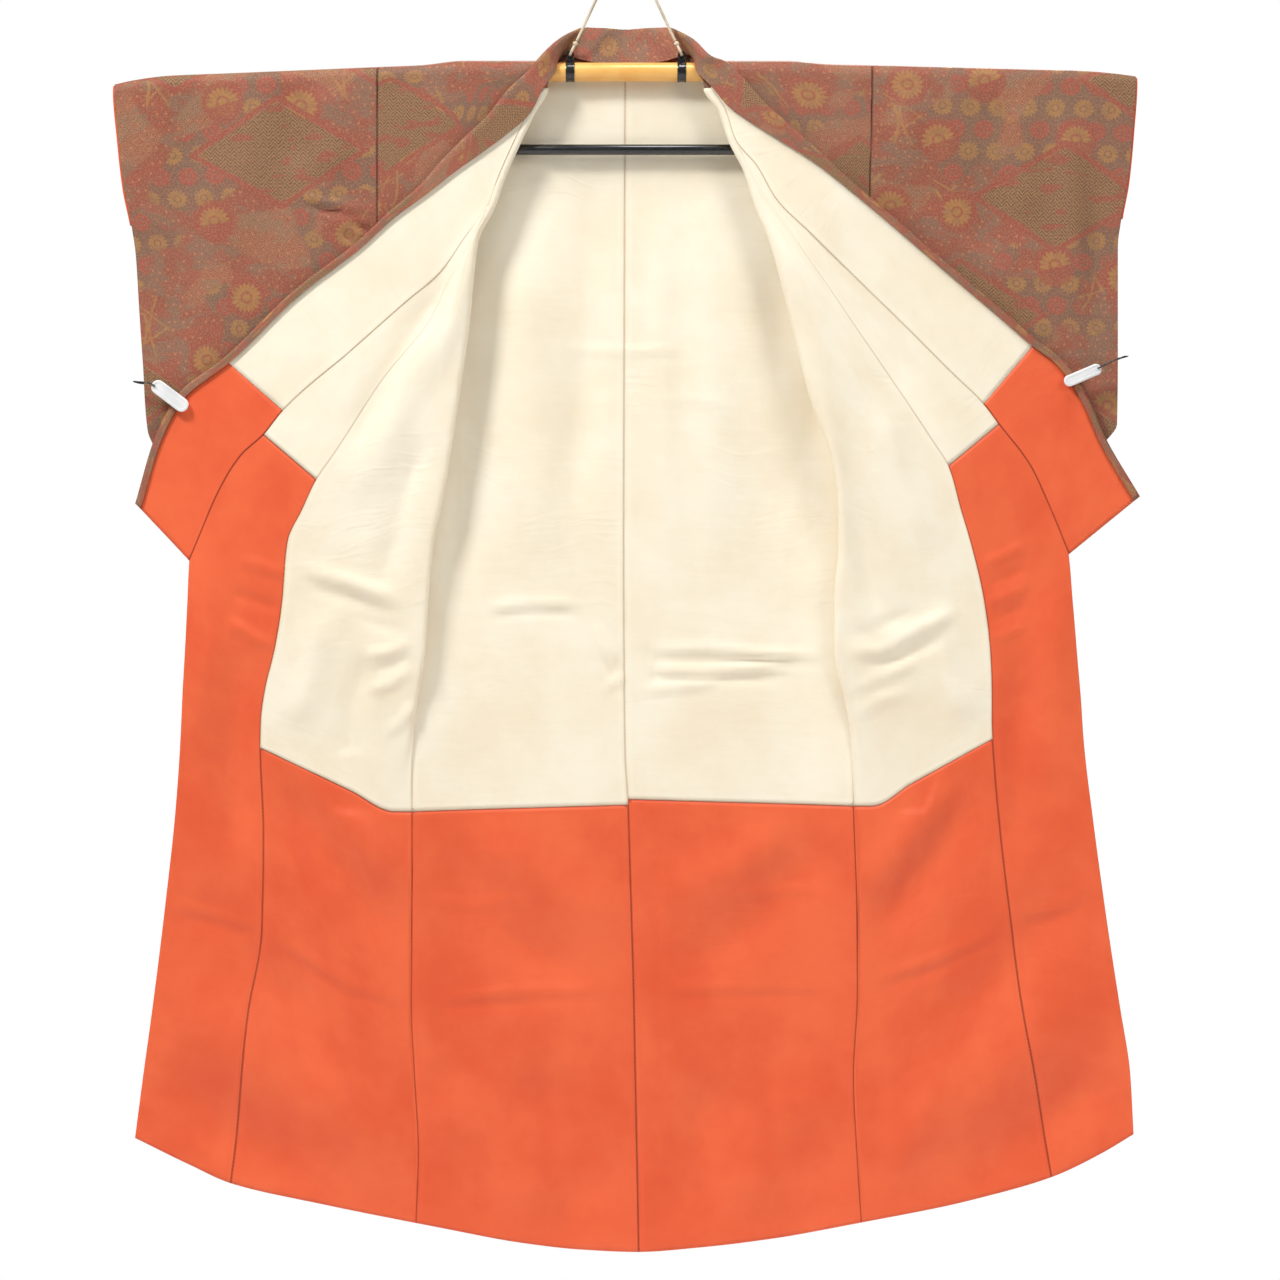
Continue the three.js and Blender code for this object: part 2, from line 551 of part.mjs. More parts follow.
function clipWire({ front, back, wire: [nearX, nearZ, farX, farZ] }) {
  const out = Math.sign(farX);
  const route = new THREE.CatmullRomCurve3([
    point(nearX, front - JAW / 2 - 1.4, nearZ), point(nearX + 8 * out, front - JAW / 2 - 1.6, nearZ + 4),
    point(farX - 2 * out, front + 4, farZ), point(farX + 3 * out, -6, farZ + 1),
    point(farX - 2 * out, back + 1, farZ), point(nearX + 8 * out, back + JAW / 2 + 1.6, nearZ + 4),
    point(nearX, back + JAW / 2 + 1.4, nearZ)]);
  const section = new THREE.Shape();
  section.absarc(0, 0, 1, 0, 2 * Math.PI);
  return new THREE.ExtrudeGeometry(section, { steps: 24, curveSegments: 4, extrudePath: route });
}

// ---- assembly ----
function piece(name, geometry, finish) {
  const mesh = new THREE.Mesh(geometry, new THREE.MeshStandardMaterial(finish));
  mesh.name = name;
  return mesh;
}

function garmentSide(side) {
  const back = backPanel(side);
  const front = frontPanel(side);
  const overlap = overlapPanel(side);
  const sleeve = sleevePanel(side);
  const backOrange = 3 + BACK_ROWS.findIndex(({ row }) => row === BODY_ORANGE_ROW);
  const frontOrange = FRONT_TOP_ROWS + BODY_ORANGE_ROW;
  const overlapOrange = OVERLAP_ORANGE_ROW - TIP_ROW[side];
  const named = (name, geometry, finish) => piece(`${name}_${side}`, geometry, finish);
  return {
    edges: necklineEdges(side, back, front, overlap),
    meshes: [
      named('back', outerCloth(back), PATTERNED),
      named('front', outerCloth(front), PATTERNED),
      named('overlap', outerCloth(overlap), PATTERNED),
      named('sleeve', outerCloth(sleeve), PATTERNED),
      named('back_lining', liningOn(back, { rows: [2, backOrange + 1], columns: [1] }), WHITE_LINING),
      named('back_hem_lining', liningOn(trimmed(back, backOrange), { columns: [0] }), ORANGE_LINING),
      named('front_lining', liningOn(front,
        { rows: [FRONT_TOP_ROWS + 1, frontOrange + 1], columns: [FRONT_ROLL_COLUMN] }), WHITE_LINING),
      named('front_hem_lining', liningOn(trimmed(front, frontOrange), { columns: [0] }), ORANGE_LINING),
      named('overlap_lining', liningOn(overlap, { rows: [0, overlapOrange + 1], columns: [0] }), WHITE_LINING),
      named('overlap_hem_lining', liningOn(trimmed(overlap, overlapOrange), { columns: [0] }), ORANGE_LINING),
      named('sleeve_edging', sleeveEdging(sleeve, side), ORANGE_LINING),
    ],
  };
}

/** A panel's rows from one row down, whose first row is lowered by the seam's gap. */
function trimmed({ points, normals }, row) {
  const lower = points.slice(row);
  const first = lower[0].map((p, u) => {
    const down = lower[1][u].clone().sub(p).normalize();
    return p.clone().addScaledVector(down, GAP);
  });
  return { points: [first, ...lower.slice(1)], normals: normals.slice(row) };
}

function collarPieces(left, right) {
  const leftRows = collarRows('left', left);
  const rows = [...leftRows.slice(1).reverse(), ...collarRows('right', right)];
  const band = collarPanel(rows);
  const neckRows = COLLAR_NECK.length;
  const orange = neckRows + COLLAR_ORANGE_ROW;
  const middle = leftRows.length - 1;
  const lining = (from, to) => liningOn(collarHalf(band, from, to));
  return [
    piece('collar', outerCloth(band), PATTERNED),
    piece('collar_lining_left', lining(middle - orange, middle - neckRows), WHITE_LINING),
    piece('collar_lining_right', lining(middle + neckRows, middle + orange), WHITE_LINING),
    piece('collar_end_lining_left', lining(middle - orange, 0), ORANGE_LINING),
    piece('collar_end_lining_right', lining(middle + orange, rows.length - 1), ORANGE_LINING),
  ];
}

/** The collar's outer half without its fold, which a lining lies on, from one row to another. */
function collarHalf({ half }, from, to) {
  const [first, last] = [Math.min(from, to), Math.max(from, to)];
  const points = half.points.slice(first, last + 1).map(([seam, middle, fold]) => [
    seam, middle, fold.clone().lerp(middle, COLLAR_TURN_SHARE)]);
  const normals = half.normals.slice(first, last + 1);
  const start = from > to ? points.length - 1 : 0;
  const next = points[from > to ? start - 1 : 1];
  points[start] = points[start].map((p, u) => p.clone().addScaledVector(
    next[u].clone().sub(p).normalize(), GAP));
  return { points, normals };
}

function hangerPieces() {
  const tube = piece('hanger_tube', pipe(TUBE_R, TUBE_BORE, TUBE_HALF), GOLD);
  tube.position.z = TUBE_Z;
  const bar = piece('sash_bar', roundBar(BAR_R, -BAR_HALF, BAR_HALF), BLACK);
  bar.position.z = BAR_Z;
  const ring = piece('hanging_ring', new THREE.TorusGeometry(RING_R, RING_WIRE, 10, 28).rotateY(Math.PI / 2), GOLD);
  ring.position.z = DROP - RING_R + RING_WIRE;
  const cordMesh = piece('hanging_cord', cord(), CREAM);
  const parts = [tube, bar, ring, cordMesh, rod('left'), rod('right')];
  for (const side of ['left', 'right']) {
    const sign = signOf(side);
    const post = piece(`bar_post_${side}`, new THREE.CylinderGeometry(
      POST_R, POST_R, TUBE_Z - TUBE_R - BAR_Z - BAR_R - 2 * GAP, 12).rotateX(Math.PI / 2), BLACK);
    post.position.set(sign * POST_X, 0, (TUBE_Z - TUBE_R + BAR_Z + BAR_R) / 2);
    const tab = piece(`cord_bracket_${side}`, bracket(), BLACK);
    tab.position.set(sign * BRACKET_X, 0, TUBE_Z);
    const loop = piece(`cord_loop_${side}`, cordLoop(), CREAM);
    loop.position.set(sign * BRACKET_X, 0, EYE_Z);
    loop.rotation.z = side === 'left' ? 0 : Math.PI;
    parts.push(post, tab, loop);
  }
  return parts;
}

function clipPieces(side) {
  const clip = CLIPS[side];
  const names = ['front', 'back'];
  const jaws = names.map((face) => {
    const mesh = piece(`clip_${face}_jaw_${side}`, jaw(clip), CLIP_WHITE);
    mesh.position.set(clip.x, clip[face], clip.z);
    return mesh;
  });
  return [...jaws, piece(`clip_wire_${side}`, clipWire(clip), BLACK)];
}

const group = new THREE.Group();
group.position.z = -DROP;
const left = garmentSide('left');
const right = garmentSide('right');
group.add(
  ...hangerPieces(), ...left.meshes, ...right.meshes, ...collarPieces(left.edges, right.edges),
  ...clipPieces('left'), ...clipPieces('right'));

export default group;
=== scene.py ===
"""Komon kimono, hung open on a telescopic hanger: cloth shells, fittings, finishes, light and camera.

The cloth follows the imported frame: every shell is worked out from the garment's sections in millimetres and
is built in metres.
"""

import logging
import math
from collections.abc import Iterable, Sequence
from dataclasses import dataclass, field
from enum import Enum
from typing import NamedTuple

import bmesh
import bpy
import numpy as np
from mathutils import Matrix, Vector

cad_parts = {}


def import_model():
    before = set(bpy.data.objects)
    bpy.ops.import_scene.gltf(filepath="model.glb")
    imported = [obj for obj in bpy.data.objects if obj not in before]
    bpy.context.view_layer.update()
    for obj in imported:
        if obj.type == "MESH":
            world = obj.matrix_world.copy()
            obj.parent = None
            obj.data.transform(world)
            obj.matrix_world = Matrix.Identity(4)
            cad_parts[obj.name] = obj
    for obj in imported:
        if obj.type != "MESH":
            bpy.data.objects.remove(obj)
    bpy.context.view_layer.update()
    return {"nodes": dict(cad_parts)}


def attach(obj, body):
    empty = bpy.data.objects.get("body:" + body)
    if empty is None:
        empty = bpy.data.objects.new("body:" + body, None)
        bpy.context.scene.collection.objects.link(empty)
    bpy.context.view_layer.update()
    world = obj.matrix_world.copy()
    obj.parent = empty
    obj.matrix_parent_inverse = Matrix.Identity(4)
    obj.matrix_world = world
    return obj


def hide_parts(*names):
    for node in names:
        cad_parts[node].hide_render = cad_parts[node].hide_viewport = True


LOG = logging.getLogger("kimono")
MM = 0.001
MERGE = 1e-3  # mm, above what single precision loses at the sleeves' ends
ROOT = "root"
DROP = 14.0  # the garment's sections start this far below the hook
CLOTH = 0.9
LINING = 0.7
SEAM_SINK = {"outer": 0.25, "lining": -0.2}  # a seam draws the cloth in this far
SINK_WIDTH = 1.6
LAYER_GAP = 1.4  # from the middle of the outer cloth to the middle of its lining
STEP = 6.0  # spacing of the shells' points
EDGE_STEPS = (0.9, 2.2)  # closer columns beside a pressed edge
LEAST_RUN = 0.5  # between two sections, where they meet in a point


class Side(Enum):
    """Side of the garment, as seen from the front."""

    LEFT = -1
    RIGHT = 1

    @property
    def label(self) -> str:
        """Lower-case name, as the nodes use it."""
        return self.name.lower()


class Front(NamedTuple):
    """Section of a front: heights and distances from the middle."""

    z: float
    side: float
    roll: float
    seam: float
    rise: float
    flat: float


class Fold(NamedTuple):
    """Section of the collar: its fold and the width that is turned over."""

    x: float
    z: float
    over: float


class Neck(NamedTuple):
    """Section of the standing collar behind the neck."""

    x: float
    y: float
    z: float
    over: float


class SleeveRow(NamedTuple):
    """Level of a sleeve: share of the way down, outer edge, and half spaces at the edge and middle."""

    down: float
    outer: float
    mouth: float
    full: float


FRONTS: dict[Side, list[Front]] = {
    Side.LEFT: [Front(*row) for row in (
        (-186, 311, 98, 106, 0, 0), (-216, 311, 114, 122, 0, 0), (-255, 311, 133, 141, 0, 0),
        (-299, 311, 152, 160, 0, 0), (-334, 311, 164, 172, 0, 0), (-377, 311, 185, 193, 0, 0),
        (-425, 309, 191, 219, 0, 0), (-477, 306, 196, 245, 0, 0), (-550, 302, 206, 304, 0, 0),
        (-643, 296, 220, 365, 0, 0), (-675, 294, 225, 387, 0, 0), (-713, 290, 233, 405, 0, 0),
        (-752, 286, 241, 423, 0, 0), (-836, 279, 249, 431, 0, 0), (-889, 274, 252, 440, 0, 0),
        (-951, 271, 253, 452, 12, 0.3), (-1020, 270, 257, 457, 44, 0.65), (-1091, 269, 266, 458, 80, 1),
        (-1202, 269, 269, 454, 78, 1), (-1332, 270, 270, 456, 94, 1), (-1422, 266, 266, 473, 82, 1),
        (-1516, 261, 261, 483, 69, 1), (-1608, 264, 264, 495, 50, 1))],
    Side.RIGHT: [Front(*row) for row in (
        (-186, 308, 98, 106, 0, 0), (-213, 307, 116, 124, 0, 0), (-251, 307, 129, 137, 0, 0),
        (-289, 305, 148, 156, 0, 0), (-330, 305, 161, 181, 0, 0), (-380, 304, 181, 214, 0, 0),
        (-437, 303, 197, 254, 0, 0), (-503, 302, 213, 299, 0, 0), (-577, 300, 232, 350, 0, 0),
        (-625, 298, 250, 382, 0, 0), (-658, 297, 260, 403, 0, 0), (-713, 295, 267, 419, 0, 0),
        (-757, 293, 267, 432, 0, 0), (-826, 290, 262, 448, 0, 0), (-889, 288, 262, 456, 0, 0),
        (-951, 286, 266, 458, 12, 0.3), (-1020, 285, 272, 458, 50, 0.65), (-1084, 286, 279, 459, 84, 1),
        (-1199, 290, 290, 468, 90, 1), (-1314, 291, 291, 482, 87, 1), (-1426, 286, 286, 497, 85, 1),
        (-1516, 290, 290, 516, 69, 1), (-1610, 296, 296, 533, 58, 1))],
}
TIP_ROW = {Side.LEFT: 5, Side.RIGHT: 3}
COLLAR_END_ROW = 13
COLLAR_ORANGE_ROW = 9
OVERLAP_ORANGE_ROW = 10
BODY_ORANGE_ROW = 17

OVERLAP_EDGES: dict[Side, tuple[tuple[float, float], ...]] = {
    Side.LEFT: (
        (199, -372), (230, -415), (274, -453), (344, -515), (429, -589), (453, -619), (481, -645),
        (505, -682), (546, -777), (548, -826), (551, -889), (554, -939), (556, -979), (564, -1092),
        (576, -1202), (592, -1334), (605, -1428), (614, -1497)),
    Side.RIGHT: (
        (163, -283), (188, -326), (231, -369), (282, -418), (340, -475), (405, -540), (447, -581),
        (466, -606), (506, -659), (526, -701), (554, -769), (559, -832), (564, -895), (569, -951),
        (572, -995), (584, -1096), (601, -1221), (618, -1334), (631, -1416), (635, -1483)),
}
COLLAR_FOLDS: dict[Side, list[Fold]] = {
    Side.LEFT: [Fold(*row) for row in (
        (120, -165, 28), (146, -190, 38), (172, -223, 31), (200, -250, 26), (226, -276, 20),
        (255, -309, 12), (297, -345, 8), (332, -378, 7), (414, -441, 7), (502, -525, 7),
        (518, -537, 7), (555, -566, 7), (585, -618, 7), (612, -707, 7))],
    Side.RIGHT: [Fold(*row) for row in (
        (122, -154, 34), (152, -182, 36), (173, -207, 28), (200, -231, 22), (241, -268, 13),
        (284, -308, 8), (337, -353, 7), (399, -406, 7), (469, -465, 7), (513, -503, 7),
        (545, -528, 7), (579, -580, 7), (596, -620, 7), (641, -698, 7))],
}
COLLAR_NECK = [Neck(*row) for row in (
    (0, 32, -109, 48), (30, 31, -107, 48), (55, 26, -106, 44), (71, 11, -113, 35),
    (88, -8, -127, 26), (106, -21, -148, 24))]
SLEEVES: dict[Side, list[SleeveRow]] = {
    Side.LEFT: [SleeveRow(*row) for row in (
        (0.14, 636, 8, 9), (0.28, 629, 6.5, 7), (0.38, 620, 5, 6.5), (0.46, 615, 1.4, 6),
        (0.6, 611, 0.9, 6), (0.76, 606, 0.9, 6), (0.95, 600, 0.9, 5), (1, 591, 0.9, 0.9))],
    Side.RIGHT: [SleeveRow(*row) for row in (
        (0.14, 635, 8, 9), (0.28, 629, 6.5, 7), (0.38, 621, 5, 6.5), (0.46, 617, 1.4, 6),
        (0.6, 617, 0.9, 6), (0.76, 617, 0.9, 6), (0.95, 616, 0.9, 5), (1, 601, 0.9, 0.9))],
}
SLEEVE_TOP = {Side.LEFT: (641, 6), Side.RIGHT: (639, 3)}
SLEEVE_BOTTOM = {Side.LEFT: -636, Side.RIGHT: -628}
SLEEVE_ACROSS = (0, 0.2, 0.4, 0.6, 0.8, 0.93, 1)
SLEEVE_MOUTH_ROWS = 3

FRONT_DEPTH = np.array([
    (-186, -13.5, 3.2), (-300, -14, 4.5), (-425, -14, 5.5), (-550, -12.5, 6), (-750, -10, 5.5),
    (-889, -8, 4.5), (-1091, -3, 2.5), (-1700, -3, 2.5)])
SEAM_DEPTH = np.array([
    (-289, -23), (-377, -25), (-500, -23.5), (-640, -20), (-760, -17), (-890, -14), (-1011, -9),
    (-1240, -8), (-1560, -11)])
EDGE_DEPTH = np.array([
    (-283, -23.5), (-372, -25.5), (-453, -21), (-589, -16), (-680, -15), (-890, -15), (-1200, -14),
    (-1497, -18)])
FOLD_DEPTH = np.array([
    (-154, -18), (-190, -24), (-250, -27), (-309, -25), (-378, -20), (-441, -16), (-525, -14),
    (-620, -13.5), (-707, -15)])
BACK_DEPTH = np.array([
    (-163, 13.5), (-300, 15), (-550, 15), (-800, 14), (-1090, 11), (-1330, 9), (-1643, 8)])
SIDE_PART = np.array([(-163, 10.5), (-388, 6), (-560, 2.4), (-951, 2.4), (-1084, 0), (-1643, 0)])
CENTRE_SEAM = np.array([
    (-163, -1), (-740, -3), (-1000, -2), (-1090, 3), (-1330, 10), (-1643, 16)])
BACK_ROWS = (
    (1, 0), (4, 0), (7, 0), (9, 0), (12, 0), (14, 0), (16, -5), (17, -8), (18, -11), (19, -14),
    (20, 10), (21, 24), (22, 34))
BACK_ACROSS = (0, 0.04, 0.28, 0.5, 0.75, 1)
UNDER_SHARES = (0, 0.25, 0.5, 0.75)
SHOULDER_SHARES = (0, 0.25, 0.49)
NECK_STEPS = (9, 8, 7, 6, 4.5, 3, 1.5, 0)
FLAT_STEPS = (0, 1, 2, 3, 6, 11, 16, 21)
LAP_SHARES = (1 / 3, 2 / 3, 1)
OVERLAP_ACROSS = (0, 0.33, 0.66, 1)
NECK_X = 90.0
SEAM_GAP = 0.3

TUBE_Z = -163.4
TUBE_R = 11.8
TUBE_HALF = 190.0
ROD_R = 9.5
ROD_IN = 20.0
ROD_REACH = 574.0
ROD_LIFT = 0.6
TUBE_OUT = (206.0, 40.0)  # from here on, and over what run, the cloth comes down from the tube to the rod
CLOTH_LIFT = 0.6  # from the gap over the tube to the cloth's middle
ARCH_STEP = math.pi / 4  # between two sections over the shoulder
NECK_BACK = 2.5  # how far the neck's middle lies further back
SIDE_TURN = 0.3  # share of the back's width over which it leaves the side seam
UNDER_TURN = 0.5
LEAST_LAP = 10.0  # a narrower lap lies flat on its roll
TIP_WIDTH = 0.6  # of the overlap where it starts
SEAM_SIDE = 0.1
ROD_SAG = {Side.LEFT: 0.0419, Side.RIGHT: 0.0262}


def at(table: np.ndarray, z: float | np.ndarray, column: int = 1) -> float | np.ndarray:
    """Read a table that runs downwards.

    Args:
        table: rows of height and values.
        z: height or heights to read at.
        column: which value to read.

    Returns:
        The value between the nearest rows.
    """
    return np.interp(-np.asarray(z, float), -table[:, 0], table[:, column])


def lerp(a: float, b: float, share: float) -> float:
    """Value the given share of the way from a to b."""
    return a + (b - a) * share


def smooth_through(values: np.ndarray, places: np.ndarray, wanted: np.ndarray) -> np.ndarray:
    """Run a smooth curve without overshoot through values.

    Args:
        values: points along the first axis.
        places: rising place of each point along the curve.
        wanted: places to read.

    Returns:
        The curve's points at the wanted places.
    """
    shape = (-1,) + (1,) * (values.ndim - 1)
    run = np.diff(places).reshape(shape)
    slope = np.diff(values, axis=0) / run
    tangent = np.zeros_like(values)
    tangent[0], tangent[-1] = slope[0], slope[-1]
    if len(values) > 2:
        before, after = slope[:-1], slope[1:]
        weight_a, weight_b = 2 * run[1:] + run[:-1], run[1:] + 2 * run[:-1]
        same = before * after > 0
        safe_before = np.where(same, before, 1)
        safe_after = np.where(same, after, 1)
        tangent[1:-1] = np.where(
            same, (weight_a + weight_b) / (weight_a / safe_before + weight_b / safe_after), 0)
    left = np.clip(np.searchsorted(places, wanted, side="right") - 1, 0, len(places) - 2)
    span = run[left]
    share = ((wanted - places[left]).reshape(shape)) / span
    cube, square = share**3, share**2
    return ((2 * cube - 3 * square + 1) * values[left] + (cube - 2 * square + share) * span * tangent[left]
            + (-2 * cube + 3 * square) * values[left + 1] + (cube - square) * span * tangent[left + 1])


@dataclass
class Sheet:
    """Points of a cloth's middle surface, with the cloth's own measure across and along."""

    points: np.ndarray
    across: np.ndarray
    along: np.ndarray
    sense: int

    def normals(self) -> np.ndarray:
        """Unit normals that point to the lining's side.

        Returns:
            A unit vector for each point.
        """
        du = np.gradient(self.points, axis=1)
        dv = np.gradient(self.points, axis=0)
        cross = np.cross(du, dv) * self.sense
        return cross / np.maximum(np.linalg.norm(cross, axis=2, keepdims=True), 1e-9)

    def cut(self, rows: slice = slice(None), columns: slice = slice(None)) -> "Sheet":
        """Part of the sheet between given rows and columns."""
        return Sheet(self.points[rows, columns], self.across[columns], self.along[rows], self.sense)

    def moved(self, distance: float) -> "Sheet":
        """The sheet moved out by a distance along its normals."""
        points = self.points + self.normals() * distance
        return Sheet(points, self.across, self.along, self.sense)


def refined(marks: np.ndarray, edges: bool) -> tuple[np.ndarray, list[int]]:
    """Divide a row of marks.

    Args:
        marks: rising places.
        edges: whether to add close places beside both ends, for a pressed edge.

    Returns:
        The divided places, and the index of each mark among them.
    """
    places: list[float] = []
    index: list[int] = []
    for start, end in zip(marks[:-1], marks[1:]):
        index.append(len(places))
        count = max(2, math.ceil((end - start) / STEP))
        places.extend(np.linspace(start, end, count, endpoint=False))
    index.append(len(places))
    places.append(float(marks[-1]))
    if edges:
        close = [marks[0] + d for d in EDGE_STEPS] + [marks[-1] - d for d in reversed(EDGE_STEPS)]
        merged = sorted(set(places) | set(close))
        index = [merged.index(places[i]) for i in index]
        places = merged
    return np.array(places), index


def dense(rows: Sequence[Sequence[Sequence[float]]], sense: int) -> tuple[Sheet, list[int], list[int]]:
    """Make a sheet from its sections.

    Args:
        rows: sections of points, in millimetres.
        sense: which way the lining lies.

    Returns:
        The sheet, and where each section and each column of the sections lies in it.
    """
    grid = np.array(rows, float)
    run_v = np.linalg.norm(np.diff(grid, axis=0), axis=2)
    run_u = np.linalg.norm(np.diff(grid, axis=1), axis=2)
    along = np.concatenate([[0], np.cumsum(np.maximum(run_v.mean(axis=1), LEAST_RUN))])
    across = np.concatenate([[0], np.cumsum(np.maximum(run_u.max(axis=0), LEAST_RUN))])
    wanted_v, index_v = refined(along, False)
    wanted_u, index_u = refined(across, True)
    points = smooth_through(grid, along, wanted_v)
    points = smooth_through(points.swapaxes(0, 1), across, wanted_u).swapaxes(0, 1)
    return Sheet(points, wanted_u, wanted_v, sense), index_v, index_u


# ---- the garment's sheets ----
def rod_height(side: Side, x: float) -> float:
    """Height of the rod's middle at a distance from the centre."""
    return TUBE_Z + ROD_LIFT - max(x - (TUBE_HALF - ROD_IN), 0) * ROD_SAG[side]


def shoulder(side: Side, x: float) -> tuple[float, float]:
    """Height of the middle and radius of the cloth over the tube and the rod.

    Args:
        side: the garment's side.
        x: distance from the middle.

    Returns:
        The height and the radius there.
    """
    past = min(max((x - TUBE_OUT[0]) / TUBE_OUT[1], 0), 1)
    radius = (lerp(TUBE_R, ROD_R, past) + SEAM_GAP + CLOTH_LIFT) / math.cos(ARCH_STEP / 2)
    return lerp(TUBE_Z, rod_height(side, x), past), radius


def shoulder_row(side: Side, turn: float, facing: int, distances: Iterable[float]) -> list[list[float]]:
    """Points over the shoulder at a turn from its top, to the front or the back.

    Args:
        side: the garment's side.
        turn: angle from the shoulder's top.
        facing: 1 for the back, -1 for the front.
        distances: distances from the middle.

    Returns:
        A point for each distance.
    """
    row = []
    for x in distances:
        height, radius = shoulder(side, x)
        depth = radius * math.sin(turn) + CLOTH / 2
        row.append([side.value * x, facing * depth, height + radius * math.cos(turn)])
    return row


def back_rows(side: Side) -> list[list[list[float]]]:
    """Sections of the back, from the shoulder's top to the hem.

    Args:
        side: the garment's side.

    Returns:
        The sections, each from the side seam to the centre seam.
    """
    fronts = FRONTS[side]
    edge = fronts[0].side

    def centre_at(z: float) -> float:
        """Place of the centre seam at a height."""
        return side.value * float(at(CENTRE_SEAM, z)) + SEAM_GAP / 2 + 0.05

    rows = [shoulder_row(side, turn, 1, [lerp(edge, NECK_X, share) for share in BACK_ACROSS])
            for turn in (0, ARCH_STEP)]
    neck = []
    for share in BACK_ACROSS:
        x = lerp(edge, centre_at(TUBE_Z), share)
        height, radius = shoulder(side, max(x, NECK_X))
        neck.append([side.value * x, radius + CLOTH / 2 + NECK_BACK * share * share, height])
    rows.append(neck)
    for index, drop in BACK_ROWS:
        front = fronts[index]
        row = []
        for share in BACK_ACROSS:
            height = lerp(front.z, front.z - drop, share)
            depth = lerp(float(at(SIDE_PART, front.z)), float(at(BACK_DEPTH, height)),
                         min(share / SIDE_TURN, 1))
            x = lerp(front.side - SEAM_GAP, centre_at(front.z - drop), share)
            row.append([side.value * x, depth, height])
        rows.append(row)
    return rows


def front_row(side: Side, front: Front) -> list[list[float]]:
    """Section of a front: its under layer, its roll and the part that is turned over.

    Args:
        side: the garment's side.
        front: the section's measures.

    Returns:
        Its points, from the side seam to the overlap's seam.
    """
    under, radius = float(at(FRONT_DEPTH, front.z)), float(at(FRONT_DEPTH, front.z, 2))
    depth = -float(at(SIDE_PART, front.z))
    seam_x = front.seam - SEAM_GAP / 2
    unturned = front.rise == 0 and front.seam - front.roll < LEAST_LAP
    seam_y = under - 2 * radius if unturned else float(at(SEAM_DEPTH, front.z + front.rise))
    folded = [(lerp(front.side + SEAM_GAP, front.roll + radius, share),
               lerp(depth, under, min(share / UNDER_TURN, 1))) for share in UNDER_SHARES]
    folded += [(front.roll + radius - radius * math.sin(turn), under - radius + radius * math.cos(turn))
               for turn in (0, math.pi / 3, 2 * math.pi / 3, math.pi)]
    plain = [(front.side + SEAM_GAP + step, lerp(depth, seam_y, step / (seam_x - front.side)))
             for step in FLAT_STEPS]
    start = [(lerp(a[0], b[0], front.flat), lerp(a[1], b[1], front.flat)) for a, b in zip(folded, plain)]
    last_x, last_y = start[-1]
    row = [[side.value * x, y, front.z] for x, y in start]
    row += [[side.value * lerp(last_x, seam_x, share), lerp(last_y, seam_y, share),
             front.z + front.rise * share] for share in LAP_SHARES]
    return row


def front_rows(side: Side) -> list[list[list[float]]]:
    """Sections of a front, from the shoulder's top to the hem.

    Args:
        side: the garment's side.

    Returns:
        The sections, each from the side seam to the neck or the overlap's seam.
    """
    edge = FRONTS[side][0].side
    distances = [lerp(edge, NECK_X, share) for share in SHOULDER_SHARES]
    distances += [NECK_X + step for step in NECK_STEPS]
    top = [shoulder_row(side, turn, -1, distances) for turn in (0, ARCH_STEP, 2 * ARCH_STEP)]
    return top + [front_row(side, front) for front in FRONTS[side]]


def overlap_rows(side: Side) -> list[list[list[float]]]:
    """Sections of an overlap panel, from just above its tip, where it is a thread wide, to the hem.

    Args:
        side: the garment's side.

    Returns:
        The sections, each from the seam to the free edge.
    """
    above = FRONTS[side][TIP_ROW[side] - 1]
    above_y = float(at(FRONT_DEPTH, above.z)) - 2 * float(at(FRONT_DEPTH, above.z, 2))
    rows = [[[side.value * (above.seam + SEAM_GAP / 2 + SEAM_SIDE + TIP_WIDTH * share), above_y, above.z]
             for share in OVERLAP_ACROSS]]
    for index, (edge_x, edge_z) in enumerate(OVERLAP_EDGES[side]):
        front = FRONTS[side][TIP_ROW[side] + index]
        if index == 0:
            seam_y = float(at(FRONT_DEPTH, front.z)) - 2 * float(at(FRONT_DEPTH, front.z, 2))
            edge_y = seam_y
        else:
            seam_y, edge_y = float(at(SEAM_DEPTH, front.z + front.rise)), float(at(EDGE_DEPTH, edge_z))
        rows.append([[side.value * lerp(front.seam + SEAM_GAP / 2 + SEAM_SIDE, edge_x, share),
                      lerp(seam_y, edge_y, share), lerp(front.z + front.rise, edge_z, share)]
                     for share in OVERLAP_ACROSS])
    return rows


